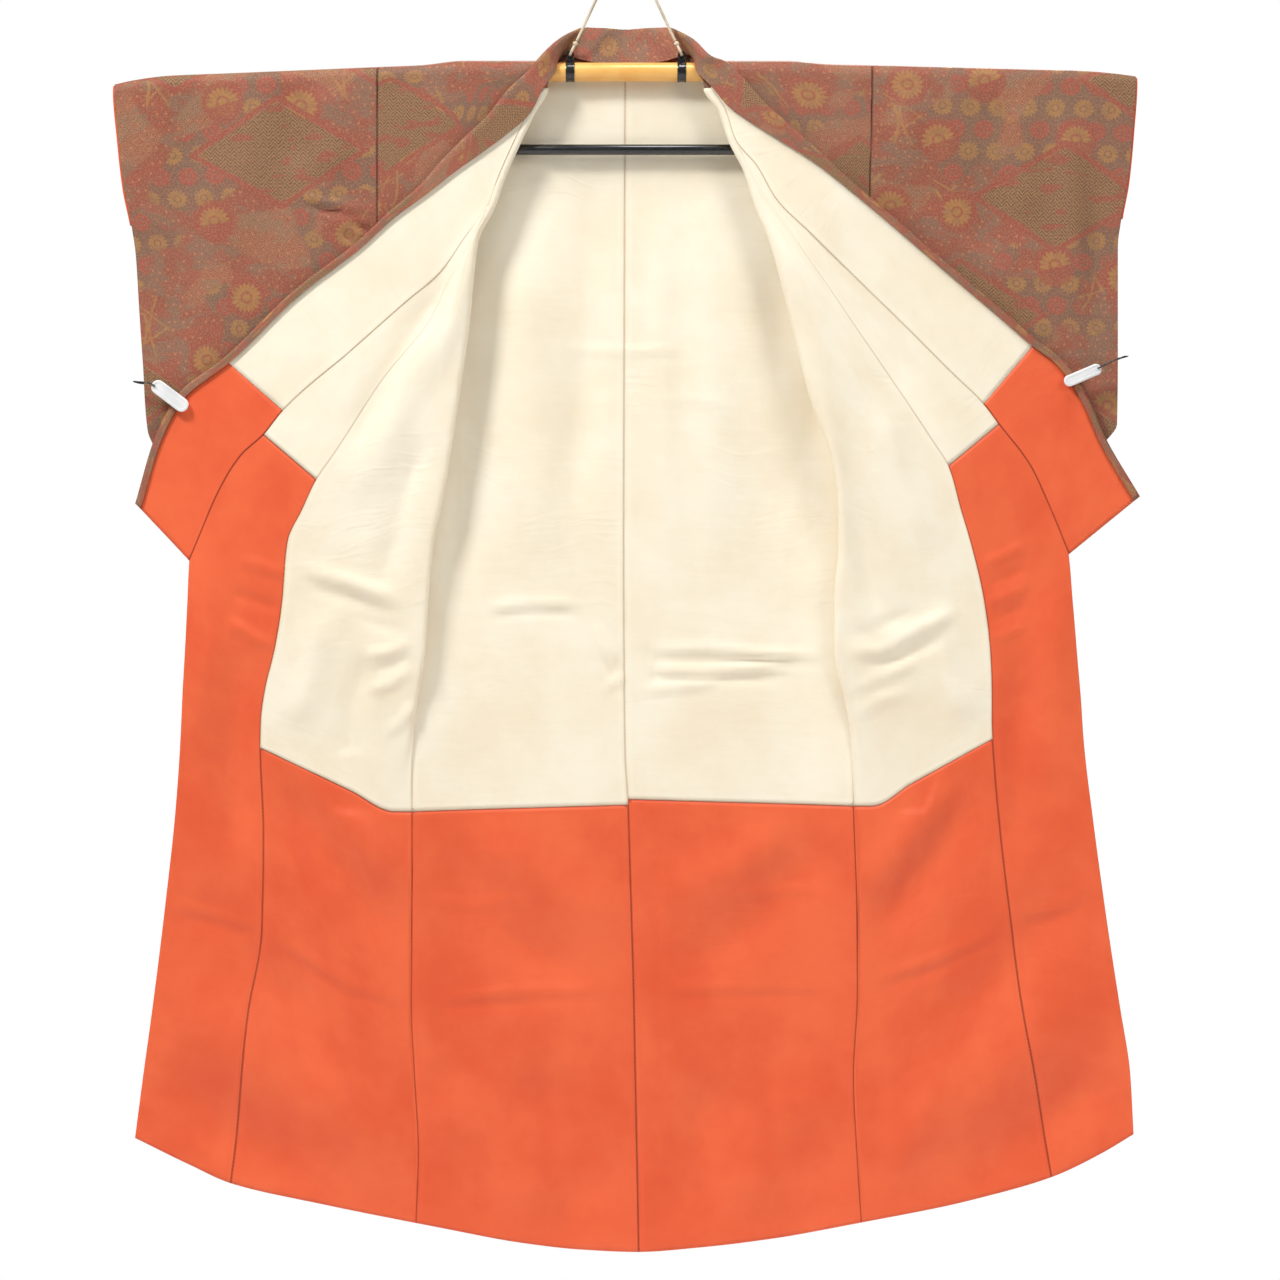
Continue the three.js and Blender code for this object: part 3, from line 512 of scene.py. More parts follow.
def sleeve_rows(side: Side) -> list[list[list[float]]]:
    """Sections of a sleeve, from its front's lower edge over the rod to its back's lower edge.

    Args:
        side: the garment's side.

    Returns:
        The sections, each from the armhole to the mouth.
    """
    outer, dip = SLEEVE_TOP[side]
    bottom = SLEEVE_BOTTOM[side]
    edges = np.array([(front.z, front.side) for front in FRONTS[side][:TIP_ROW[side] + 1]], float)

    def inner_at(z: float) -> float:
        """Distance of the armhole's seam at a height."""
        return float(at(edges, z)) + 1

    def over(x: float) -> tuple[float, float]:
        """The cloth over the rod.

        Args:
            x: distance from the middle.

        Returns:
            Its height and radius.
        """
        past = min(max((x - ROD_REACH) / (outer - ROD_REACH), 0), 1)
        height, radius = shoulder(side, x)
        return height - dip * past * past, radius - 2 * past

    def layer(facing: int, row: SleeveRow) -> list[list[float]]:
        """One level of the front or back layer.

        Args:
            facing: 1 for the back, -1 for the front.
            row: the level's measures.

        Returns:
            Its points, from the armhole to the mouth.
        """
        points = []
        for share in SLEEVE_ACROSS:
            x = lerp(inner_at(lerp(TUBE_Z, bottom, row.down)), row.outer, share)
            y = lerp(row.mouth, row.full, min((1 - share) / 0.2, 1))
            points.append([side.value * x, facing * y, lerp(over(x)[0], bottom, row.down)])
        return points

    arch = []
    for degrees in (-90, -45, 0, 45, 90):
        turn = math.radians(degrees)
        row = []
        for share in SLEEVE_ACROSS:
            x = lerp(inner_at(TUBE_Z), outer, share)
            height, radius = over(x)
            row.append([side.value * x, radius * math.sin(turn), height + radius * math.cos(turn)])
        arch.append(row)
    rows = SLEEVES[side]
    return [layer(-1, row) for row in reversed(rows)] + arch + [layer(1, row) for row in rows]


COLLAR_ON_CLOTH = 1.5  # the collar's middle over the shoulder's cloth
COLLAR_IN = 0.95  # and in from a sewn edge
COLLAR_FOLD = 4.6  # between the collar's two layers
NECK_FOLD = (80.0, 4.0)  # the same within this distance of the middle


class CollarRow(NamedTuple):
    """Section of the collar: sewn edge, fold, turned width and the direction between them."""

    seam: np.ndarray
    fold: np.ndarray
    over: float
    up: np.ndarray


def collar_rows(side: Side) -> list[CollarRow]:
    """Sections of the collar from the middle of the back to its end on one side.

    Args:
        side: the garment's side.

    Returns:
        The sections, in order.
    """
    back, front, overlap = (np.array(rows(side)) for rows in (back_rows, front_rows, overlap_rows))
    last = [(row[-1], None) for row in front[3:3 + TIP_ROW[side]]]
    last += [(row[-1], None) for row in overlap[1:COLLAR_END_ROW - TIP_ROW[side] + 2]]
    centre = back[2, -1] * np.array([0, 1, 1])

    def on_shoulder(rows: np.ndarray, row: int, sense: int) -> tuple[np.ndarray, np.ndarray]:
        """Where the collar is sewn on the shoulder.

        Args:
            rows: a sheet's sections.
            row: which section.
            sense: 1 or -1, to turn the cloth's normal outwards.

        Returns:
            The edge's point, and the way out of the cloth there.
        """
        across = rows[row, -1] - rows[row, -2]
        down = rows[row + 1, -1] - rows[max(row - 1, 0), -1]
        normal = np.cross(across, down) * sense
        return rows[row, -1], -normal / np.linalg.norm(normal)

    edges = [(centre, None), (lerp(centre, back[1, -1], 0.5), None), on_shoulder(back, 1, side.value),
             on_shoulder(back, 0, side.value), on_shoulder(front, 1, -side.value),
             on_shoulder(front, 2, -side.value), *last]
    folds = [(np.array([side.value * neck.x, neck.y, neck.z], float), neck.over) for neck in COLLAR_NECK]
    folds += [(np.array([side.value * fold.x, float(at(FOLD_DEPTH, fold.z)), fold.z]), fold.over)
              for fold in COLLAR_FOLDS[side]]
    rows = []
    for (edge, out), (fold, over) in zip(edges, folds):
        up = (fold - edge) / np.linalg.norm(fold - edge)
        seam = edge + up * COLLAR_IN if out is None else edge + out * COLLAR_ON_CLOTH
        rows.append(CollarRow(seam, fold, over, up))
    return rows


def collar_section_rows() -> list[list[np.ndarray]]:
    """Sections of the whole collar.

    Returns:
        The sections from the left end to the right, each from the sewn edge to the free one.
    """
    rows = list(reversed(collar_rows(Side.LEFT)[1:])) + collar_rows(Side.RIGHT)
    half = np.array([[lerp(row.seam, row.fold, share) for share in (0, 0.5, 1)] for row in rows])
    inward = -np.cross(np.gradient(half, axis=1), np.gradient(half, axis=0))
    inward /= np.linalg.norm(inward, axis=2, keepdims=True)
    whole = []
    for index, row in enumerate(rows):
        towards = inward[index, 1]
        part = NECK_FOLD[1] if abs(row.fold[0]) < NECK_FOLD[0] else COLLAR_FOLD
        corner = row.fold + towards * part / 2 + row.up * part / 2
        free = row.fold + towards * part
        whole.append([*half[index], corner, free, free - row.up * row.over / 2, free - row.up * row.over])
    return whole


CREASE_GAIN = 2.0
SWAG_GAIN = 2.5  # wide, soft folds
SWAG_WIDTH = 12
END_FADE = 0.3  # share of a fold's length over which it dies out at each end
UNEVEN = 0.22  # how uneven a fold's height is along it
SEAM_REACH = 0.4  # sewn edges reach this far over the seam's space
COLLAR_REACH = 0.9
# where each strip is cut from the patterned length, across and along, in metres
PATTERN_STARTS = {
    "back_left": (0.03, 0.42), "back_right": (0.31, 1.17), "front_left": (0.11, 2.05),
    "front_right": (0.02, 0.93), "overlap_left": (0.47, 0.2), "overlap_right": (0.66, 1.4),
    "sleeve_left": (0.0, 0.0), "sleeve_right": (1.05, 0.06), "collar": (0.83, 0.15)}
HEM = np.array([  # distance from the middle and height
    (-612, -1499.7), (-547, -1532.4), (-494, -1556.8), (-371, -1585.1), (-262, -1607.7),
    (-133, -1632.8), (-58, -1641.5), (14, -1644.7), (93, -1639.0), (193, -1626.5),
    (297, -1606.4), (419, -1581.3), (533, -1548.7), (595, -1518.5), (638, -1492.2)])


# ---- creases ----
class Crease(NamedTuple):
    """A soft fold in the cloth: its line seen from the front, its width and its height towards the viewer."""

    line: tuple[tuple[float, float], ...]
    width: float
    height: float


def folds(*rows: tuple[float, ...]) -> tuple[Crease, ...]:
    """Creases from rows that hold a width, a height and then x and z of each point of the line."""
    return tuple(Crease(tuple(zip(row[2::2], row[3::2])), row[0], row[1]) for row in rows)


BACK_CREASES = folds(
    (6, 1.7, -183, -838, -114, -830, -49, -832), (5, -1.2, -183, -847, -114, -840, -49, -841),
    (6, 1.8, -43, -853, -28, -876, -8, -911), (6, 1.6, -33, -941, -15, -931, 1, -916),
    (6, -1.5, -35, -891, -20, -920, -5, -954), (6, 2.3, 18, -889, 93, -886, 181, -895, 262, -896),
    (5, -1.8, 18, -900, 118, -899, 256, -906), (5, 2.0, 9, -912, 93, -916, 168, -910, 226, -912),
    (5, -1.5, 18, -922, 118, -926, 218, -921), (5, 1.7, 15, -941, 41, -937, 131, -927),
    (6, -1.4, 19, -876, 33, -901, 43, -939), (5, 0.8, -102, -508, -8, -513, 93, -511),
    (4, 0.6, 18, -576, 80, -574, 143, -580), (30, 2.8, -133, -311, -120, -575, -102, -813),
    (22, -2.2, -43, -261, -51, -512, -68, -776), (30, 2.4, 93, -261, 108, -512, 120, -826),
    (26, -2.4, 181, -349, 196, -575, 208, -776), (16, 1.3, 45, -248, 48, -575, 53, -876),
    (24, -2.4, -196, -449, -206, -625, -218, -826), (24, -2.2, 252, -487, 237, -638, 233, -826),
    (30, -3.0, -233, -1127, -158, -1240, -20, -1328), (26, 2.4, -196, -1102, -108, -1177, -1, -1240),
    (30, -2.6, 269, -1114, 168, -1227, 43, -1309), (24, 2.2, 231, -1092, 131, -1165, 30, -1209),
    (5, 1.1, -271, -1332, -183, -1322, -83, -1315, 10, -1318),
    (5, 1.0, 10, -1318, 93, -1314, 212, -1316, 287, -1308), (6, -0.9, -271, -1340, -158, -1332, 10, -1328),
    (6, -0.9, 18, -1328, 118, -1324, 281, -1318), (4, 0.7, 51, -1089, 53, -1278, 58, -1516),
    (34, 2.8, -246, -1428, -158, -1516, -83, -1623), (28, -2.6, -133, -1391, -83, -1503, -33, -1629),
    (34, 2.6, 256, -1416, 181, -1516, 143, -1616), (28, -2.4, 118, -1403, 93, -1503, 68, -1629),
    (5, 0.8, -259, -1202, -196, -1209, -120, -1200), (5, 0.8, 93, -1190, 168, -1194, 269, -1187))
LAP_CREASES = folds(
    (9, 2.9, -414, -784, -371, -797, -321, -813, -271, -833), (8, -2.0, -409, -803, -346, -822, -281, -851),
    (6, 2.0, -334, -896, -296, -891, -265, -877), (6, 1.8, -326, -940, -294, -931, -267, -911),
    (6, 1.6, -306, -995, -281, -979, -261, -951), (5, -1.4, -319, -915, -290, -907, -265, -895),
    (7, -1.3, -353, -838, -309, -857, -271, -866), (15, 2.4, -161, -286, -202, -412, -246, -575),
    (18, -2.2, -196, -387, -284, -525, -365, -663), (20, 2.2, -233, -462, -290, -600, -346, -725),
    (14, -2.0, -251, -612, -284, -725, -309, -826), (18, 2.0, -371, -826, -397, -926, -422, -1001),
    (14, -1.6, -321, -876, -346, -976, -353, -1052), (6, 1.9, -503, -851, -472, -868, -438, -889),
    (6, -1.4, -498, -816, -466, -826, -428, -840), (6, 1.3, -489, -776, -457, -783, -422, -796),
    (26, 2.6, -535, -725, -528, -876, -540, -1052), (20, -2.6, -484, -876, -494, -1027, -484, -1177),
    (5, 1.1, -572, -1205, -516, -1220, -456, -1237),
    (6, 1.2, -456, -1237, -403, -1271, -346, -1309, -271, -1332), (6, -0.9, -570, -1217, -456, -1250),
    (6, -0.9, -449, -1255, -346, -1323, -271, -1343), (26, -3.2, -447, -1027, -371, -1152, -271, -1278),
    (22, 2.8, -409, -1027, -321, -1140, -259, -1202), (40, 3.6, -585, -1278, -472, -1403, -271, -1541),
    (32, -3.2, -597, -1403, -497, -1491, -371, -1573), (30, -2.8, -547, -1177, -472, -1278, -371, -1378),
    (24, 2.4, -397, -1378, -346, -1478, -284, -1579),
    (7, 2.6, 265, -886, 294, -891, 321, -889, 356, -868, 427, -832),
    (7, -2.0, 281, -909, 344, -901, 419, -858), (6, 1.4, 271, -941, 325, -921, 382, -889),
    (6, -1.3, 266, -868, 306, -866, 369, -833), (7, 1.2, 281, -976, 319, -951, 369, -936),
    (20, 2.4, 171, -324, 237, -462, 319, -612), (18, -2.2, 212, -305, 306, -474, 400, -625),
    (16, 2.2, 218, -449, 254, -612, 271, -776), (18, 2.0, 306, -550, 344, -675, 388, -776),
    (14, -1.8, 281, -700, 306, -813, 344, -876), (18, 1.8, 382, -826, 407, -926, 438, -989),
    (5, 1.5, 444, -783, 472, -771, 501, -757), (5, 1.5, 449, -830, 477, -821, 507, -806),
    (5, 1.3, 452, -877, 479, -868, 502, -856), (5, -1.2, 448, -807, 476, -798, 505, -783),
    (5, -1.2, 451, -853, 482, -841, 507, -831), (26, 2.6, 542, -776, 535, -926, 547, -1077),
    (20, -2.4, 494, -876, 489, -1027, 484, -1177), (5, 1.0, 218, -1207, 254, -1205, 287, -1200),
    (5, 1.1, 481, -1222, 536, -1214, 590, -1183), (6, 1.2, 294, -1308, 382, -1278, 481, -1234),
    (6, -0.9, 484, -1235, 538, -1226, 592, -1197), (6, -0.9, 299, -1320, 387, -1290, 482, -1246),
    (26, -3.2, 457, -1039, 382, -1152, 294, -1278), (22, 2.6, 419, -1039, 344, -1140, 294, -1202),
    (40, 3.6, 601, -1278, 482, -1403, 306, -1547), (32, -3.2, 620, -1403, 520, -1491, 407, -1566),
    (30, -2.8, 570, -1177, 482, -1278, 382, -1378), (24, 2.4, 407, -1378, 369, -1466, 331, -1573))
OUT_CREASES = folds(
    (3.5, 2.2, -414, -318, -387, -328, -353, -334, -316, -339),
    (4, -2.6, -409, -325, -382, -335, -334, -340), (3.5, -2.2, -344, -350, -329, -358, -316, -366),
    (3.5, -1.8, -361, -361, -351, -370, -341, -378), (3, 1.6, -348, -345, -331, -353, -314, -360),
    (11, -4.6, -179, -161, -173, -188, -176, -213, -191, -261),
    (10, 3.0, -151, -163, -148, -198, -161, -236), (13, 2.6, -211, -163, -218, -211, -238, -274),
    (14, -2.0, -250, -161, -252, -223, -271, -311), (28, 2.2, -472, -166, -477, -261, -487, -412),
    (26, -2.2, -553, -173, -562, -374, -570, -575), (18, 1.6, -371, -166, -364, -236, -371, -311),
    (14, 1.8, -610, -449, -585, -550, -585, -612), (14, -1.6, -422, -163, -422, -223, -409, -299),
    (7, 3.2, 217, -162, 226, -197, 242, -259, 247, -271), (8, -3.2, 203, -163, 212, -211, 226, -256),
    (9, -3.2, 240, -163, 251, -211, 271, -274), (12, 2.2, 279, -163, 284, -211, 296, -280),
    (10, 2.0, 158, -148, 178, -186, 196, -230), (9, -2.2, 138, -148, 153, -178, 171, -213),
    (20, 2.0, 350, -168, 350, -248, 363, -330), (26, -2.2, 457, -171, 452, -299, 469, -430),
    (24, 2.2, 547, -173, 557, -324, 576, -487), (18, -1.8, 595, -261, 592, -399, 597, -512),
    (6, 1.6, 417, -369, 449, -402, 484, -434), (3.5, 1.5, 587, -515, 600, -525, 612, -532),
    (3.5, -1.4, 590, -532, 602, -540, 615, -545), (20, 1.6, 494, -173, 507, -261, 502, -361))
BEHIND_CREASES = folds(
    (26, 2.4, -597, -223, -535, -324, -497, -487), (22, -2.2, -497, -186, -459, -324, -472, -449),
    (12, 1.8, -560, -449, -510, -525, -434, -575), (20, 2.0, -384, -186, -397, -324, -371, -474),
    (26, 2.4, 607, -211, 545, -349, 507, -499), (22, -2.2, 494, -186, 469, -324, 482, -449),
    (20, 2.0, 382, -186, 400, -324, 382, -474), (12, 1.8, 570, -462, 507, -537, 444, -575),
    (16, -1.8, -284, -186, -246, -261, -259, -374), (16, -1.8, 294, -186, 256, -261, 271, -374))


def crease_amount(crease: Crease, x: np.ndarray, z: np.ndarray) -> np.ndarray:
    """Height of one crease at given places.

    Args:
        crease: the fold.
        x: distances from the middle.
        z: heights.

    Returns:
        Its height at each place, which fades towards both ends.
    """
    line = np.array(crease.line, float)
    runs = np.linalg.norm(np.diff(line, axis=0), axis=1)
    starts = np.concatenate([[0], np.cumsum(runs)])
    nearest = np.full(x.shape, 1e9)
    place = np.zeros(x.shape)
    for index, run in enumerate(runs):
        direction = (line[index + 1] - line[index]) / run
        dx, dz = x - line[index][0], z - line[index][1]
        share = np.clip(dx * direction[0] + dz * direction[1], 0, run)
        gap = np.hypot(dx - share * direction[0], dz - share * direction[1])
        closer = gap < nearest
        nearest = np.where(closer, gap, nearest)
        place = np.where(closer, (starts[index] + share) / starts[-1], place)
    ends = np.clip(np.minimum(place, 1 - place) / END_FADE, 0, 1)
    fade = ends * ends * (3 - 2 * ends)
    uneven = 1 + UNEVEN * np.sin(place * 9 + line[0, 0] * 0.1)
    gain = SWAG_GAIN if crease.width > SWAG_WIDTH else CREASE_GAIN
    return gain * crease.height * uneven * fade * np.exp(-((nearest / (crease.width * 1.1)) ** 2))


def softness(x: np.ndarray, z: np.ndarray) -> np.ndarray:
    """Slight waviness that woven silk keeps when it hangs."""
    return (0.35 * np.sin(x / 61 + 1.3 * np.sin(z / 173)) * np.sin(z / 118 + 0.7)
            + 0.22 * np.sin(x / 27 + z / 95) * np.sin(z / 71 - x / 150 + 2.1))


def relief(points: np.ndarray, creases: Sequence[Crease]) -> np.ndarray:
    """Height of all creases at a sheet's points.

    Args:
        points: the sheet's points.
        creases: the folds that it may have.

    Returns:
        The height at each point, towards the viewer.
    """
    x, z = points[..., 0], points[..., 2]
    total = softness(x, z)
    for crease in creases:
        total += crease_amount(crease, x, z)
    return total


# ---- cloth pieces ----
Edges = tuple[bool, bool, bool, bool]  # left, right, top, bottom
BOTH_SIDES: Edges = (True, True, False, False)
FIRST_SIDE: Edges = (True, False, False, False)
UNSEWN: Edges = (False, False, False, False)
FAR = 1e3  # distance to a seam where none is near
CUT_ROOM = 0.002  # metres that a cut is wider and longer than its cloth
LEAST_AREA = 0.31  # of a cut's width times its length
TUBE_CLEAR = 6.0  # folds start this far below the tube's middle
SEAM_FADE = 25.0  # they die out over this width at a side seam
UNDER_SHARE = 0.35  # of a fold's height, where the cloth lies under a lap
UNDER_DEPTH = 1.5
SIDE_OPENS = (951.0, 1091.0)  # from here down the fronts turn with the back
LAP_TOP = -175.0
MOUTH = (630.0, 60.0, 0.15)  # where a sleeve's folds end, over what width, and what stays of them
HEM_BEND = -1330.0  # the hem's curve starts here
COLLAR_FREE = (-240.0, 200.0)  # height where the collar starts to follow the folds, and over what drop
EDGING = (-9.0, 2.0, 6)  # from inside a sleeve's mouth to its edge, in this many points


def placed(name: str, data: bpy.types.ID) -> bpy.types.Object:
    """Put a mesh, curve, light or camera into the scene.

    Args:
        name: the object's name.
        data: what it shows.

    Returns:
        The object.
    """
    made = bpy.data.objects.new(name, data)
    bpy.context.scene.collection.objects.link(made)
    return made


def evenly(route: np.ndarray, count: int) -> np.ndarray:
    """Smooth curve through a route, as evenly spaced points.

    Args:
        route: the route's points.
        count: how many points are wanted.

    Returns:
        The curve's points.
    """
    places = np.concatenate([[0], np.cumsum(np.linalg.norm(np.diff(route, axis=0), axis=1))])
    return smooth_through(route, places, np.linspace(0, places[-1], count))


@dataclass
class Cloth:
    """A piece of cloth in the scene."""

    name: str
    sheet: Sheet
    thickness: float
    material: bpy.types.Material
    slot: str
    seams: Edges

    def seam_gap(self) -> np.ndarray:
        """Distance of each point to the nearest sewn edge, in millimetres.

        Returns:
            The distances, large where no edge is sewn.
        """
        across, along = self.sheet.across, self.sheet.along
        gap = np.full(self.sheet.points.shape[:2], FAR)
        edges = ((across - across[0])[None, :], (across[-1] - across)[None, :],
                 (along - along[0])[:, None], (along[-1] - along)[:, None])
        for sewn, distance in zip(self.seams, edges):
            if sewn:
                gap = np.minimum(gap, distance)
        return gap

    def build(self, sink: float) -> bpy.types.Object:
        """Make the shell.

        Args:
            sink: how far the cloth is drawn in along its seams, to its lining's side.

        Returns:
            The finished object, which stands for its node.
        """
        rows, columns = self.sheet.points.shape[:2]
        gap = self.seam_gap()
        depth = sink * np.exp(-((gap / SINK_WIDTH) ** 2))
        points = self.sheet.points + self.sheet.normals() * depth[..., None]
        reach = COLLAR_REACH if self.name.startswith("collar") else SEAM_REACH
        for sewn, edge, inner in ((self.seams[0], 0, 2), (self.seams[1], -1, -3)):
            if sewn:
                outward = points[:, edge] - points[:, inner]
                run = np.maximum(np.linalg.norm(outward, axis=1, keepdims=True), 1e-6)
                points[:, edge] += outward / run * reach
        across = self.sheet.across
        measure = across[-1] - across if "right" in self.name else across
        start = PATTERN_STARTS.get(self.name, (0.0, 0.0))
        bm = bmesh.new()
        bmesh.ops.create_grid(bm, x_segments=columns - 1, y_segments=rows - 1, size=1)
        bm.verts.ensure_lookup_table()
        for vert, point in zip(bm.verts, points.reshape(-1, 3)):
            vert.co = (point[0] * MM, point[1] * MM, (point[2] - DROP) * MM)
        uv = bm.loops.layers.uv.new("cloth")
        for face in bm.faces:
            face.smooth = True
            for loop in face.loops:
                row, column = divmod(loop.vert.index, columns)
                loop[uv].uv = (measure[column] * MM + start[0], self.sheet.along[row] * MM + start[1])
        mesh = bpy.data.meshes.new(f"{self.name}_shell")
        bm.to_mesh(mesh)
        bm.free()
        stored = mesh.attributes.new("seam_gap", "FLOAT", "POINT")
        stored.data.foreach_set("value", gap.reshape(-1).astype(np.float32) * MM)
        mesh.materials.append(self.material)
        shell = placed(f"{self.name}_shell", mesh)
        wall = shell.modifiers.new("wall", "SOLIDIFY")
        wall.thickness = self.thickness * MM
        wall.offset = 0
        wall.use_even_offset = False
        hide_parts(self.name)
        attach(shell, ROOT)
        return shell

    def declare(self, shell: bpy.types.Object, rests_on: Sequence[str]) -> None:
        """Args:
            shell: the cloth's object; not used.
            rests_on: nodes that it lies on; not used.
        """
        points = self.sheet.points * MM
        widths = np.linalg.norm(np.diff(points, axis=1), axis=2).sum(axis=1)
        lengths = np.linalg.norm(np.diff(points, axis=0), axis=2).sum(axis=0)
        du = points[:-1, 1:] - points[:-1, :-1]
        dv = points[1:, :-1] - points[:-1, :-1]
        area = float(np.linalg.norm(np.cross(du, dv), axis=2).sum())
        flat = (float(widths.max()) + CUT_ROOM, float(lengths.max()) + CUT_ROOM)
        area = min(max(area, LEAST_AREA * flat[0] * flat[1]), flat[0] * flat[1])
        LOG.info("sheet %s %.0f x %.0f mm", self.name, flat[0] * 1000, flat[1] * 1000)


@dataclass
class Garment:
    """The garment's shells, their cloth and their linings."""

    silk: bpy.types.Material
    white: bpy.types.Material
    orange: bpy.types.Material
    cloths: list[Cloth] = field(default_factory=list)

    def add_outer(self, name: str, sheet: Sheet, seams: Edges) -> None:
        """Add a piece of the patterned cloth."""
        self.cloths.append(Cloth(name, sheet, CLOTH, self.silk, "patterned_silk", seams))

    def add_lining(self, name: str, sheet: Sheet, hem: bool, seams: Edges) -> None:
        """Add a piece of lining on a sheet of outer cloth.

        Args:
            name: the piece's name and node.
            sheet: the outer cloth that it lies on.
            hem: whether it is the orange lining.
            seams: which edges are sewn.
        """
        material, slot = (self.orange, "orange_lining") if hem else (self.white, "white_lining")
        self.cloths.append(Cloth(name, sheet, LINING, material, slot, seams))

    def add_pair(self, name: str, sheet: Sheet, top: int, split: int,
                 seams: Edges) -> None:
        """Add the white and the orange lining of one sheet.

        Args:
            name: the sheet's name, with a place for the lining's kind.
            sheet: the outer cloth.
            top: first row of the white lining.
            split: row where the orange lining starts.
            seams: which edges are sewn.
        """
        lining = sheet.moved(LAYER_GAP)
        left, right = seams[0], seams[1]
        self.add_lining(name.format("lining"), lining.cut(slice(top, split + 1)), False,
                        (left, right, False, True))
        hem = lining.cut(slice(split, None))
        self.add_lining(name.format("hem_lining"), trimmed(hem, 0), True, (left, right, True, False))

    def add_side(self, side: Side) -> None:
        """Add the pieces of one side.

        Args:
            side: the garment's side.
        """
        label, turn = side.label, side.value
        split = 3 + [row for row, _ in BACK_ROWS].index(BODY_ORANGE_ROW)
        for part, sections, sense, creases, top, orange, seams in (
                ("back", back_rows(side), turn, BACK_CREASES, 2, split, BOTH_SIDES),
                ("front", front_rows(side), -turn, LAP_CREASES, 3, 3 + BODY_ORANGE_ROW, BOTH_SIDES),
                ("overlap", overlap_rows(side), -turn, LAP_CREASES, 0,
                 OVERLAP_ORANGE_ROW - TIP_ROW[side] + 1, FIRST_SIDE)):
            sheet, rows, _ = dense(sections, sense)
            self.crease(sheet, creases, side, True)
            self.add_outer(f"{part}_{label}", sheet, seams)
            self.add_pair(part + "_{}_" + label, sheet, rows[top], rows[orange], seams)
        sleeve, rows, _ = dense(sleeve_rows(side), -side.value)
        self.crease(sleeve, OUT_CREASES, side, False, BEHIND_CREASES)
        self.add_outer(f"sleeve_{label}", sleeve, FIRST_SIDE)
        self.add_edging(side, sleeve, rows)

    @staticmethod
    def curve_hem(sheet: Sheet) -> None:
        """Give a sheet's lower edge the hem's even curve.

        Args:
            sheet: the cloth, which is changed.
        """
        last = sheet.points[-1]
        wanted = smooth_through(HEM[:, 1], HEM[:, 0], last[:, 0])
        fade = np.clip((HEM_BEND - sheet.points[..., 2]) / (HEM_BEND - last[:, 2])[None, :], 0, 1) ** 2
        sheet.points[..., 2] += fade * (wanted - last[:, 2])[None, :]

    def crease(self, sheet: Sheet, creases: Sequence[Crease], side: Side, at_sides: bool,
               behind: Sequence[Crease] = ()) -> None:
        """Lay creases in a sheet.

        Args:
            sheet: the cloth, which is changed.
            creases: folds of the part that faces the viewer.
            side: the garment's side.
            at_sides: whether the folds die out at the side seam, where front and back meet.
            behind: folds of the part that faces away.
        """
        points = sheet.points
        keep = np.clip((TUBE_Z - TUBE_CLEAR - points[..., 2]) / 30, 0, 1)
        if at_sides:
            self.curve_hem(sheet)
            fronts = FRONTS[side]
            edge = np.interp(-points[..., 2], [-f.z for f in fronts], [f.side for f in fronts])
            free = np.interp(-points[..., 2], SIDE_OPENS, (0, 1))
            near = np.clip((edge - np.abs(points[..., 0])) / SEAM_FADE, 0, 1)
            keep = keep * np.maximum(near * near * (3 - 2 * near), free)
            if creases is LAP_CREASES:
                under = (points[..., 1] > at(FRONT_DEPTH, points[..., 2]) - UNDER_DEPTH) & (free < 1)
                over = np.maximum(keep, 1.0 * (points[..., 2] < LAP_TOP))
                keep = np.where(under, keep * UNDER_SHARE, over)
        else:
            end, width, least = MOUTH
            keep = keep * np.clip((end - np.abs(points[..., 0])) / width, least, 1)
        amount = relief(points, creases)
        if behind:
            amount = np.where(points[..., 1] > 0, relief(points, behind), amount)
        points[..., 1] -= amount * keep

    def add_edging(self, side: Side, sleeve: Sheet, rows: list[int]) -> None:
        """Add the narrow lining inside a sleeve's mouth.

        Args:
            side: the garment's side.
            sleeve: the sleeve's sheet.
            rows: where its sections lie in it.
        """
        first = len(SLEEVES[side]) - SLEEVE_MOUTH_ROWS
        part = slice(rows[first], rows[-1 - first] + 1)
        edge, before = sleeve.points[part, -1], sleeve.points[part, -4]
        outward = edge - before
        outward /= np.linalg.norm(outward, axis=1, keepdims=True)
        shares = np.linspace(*EDGING)
        points = np.stack([edge + outward * share for share in shares], axis=1)
        normals = sleeve.normals()[part, -1]
        points += normals[:, None, :] * LAYER_GAP
        strip = Sheet(points, shares - shares[0], sleeve.along[part], sleeve.sense)
        self.add_lining(f"sleeve_edging_{side.label}", strip, True, UNSEWN)

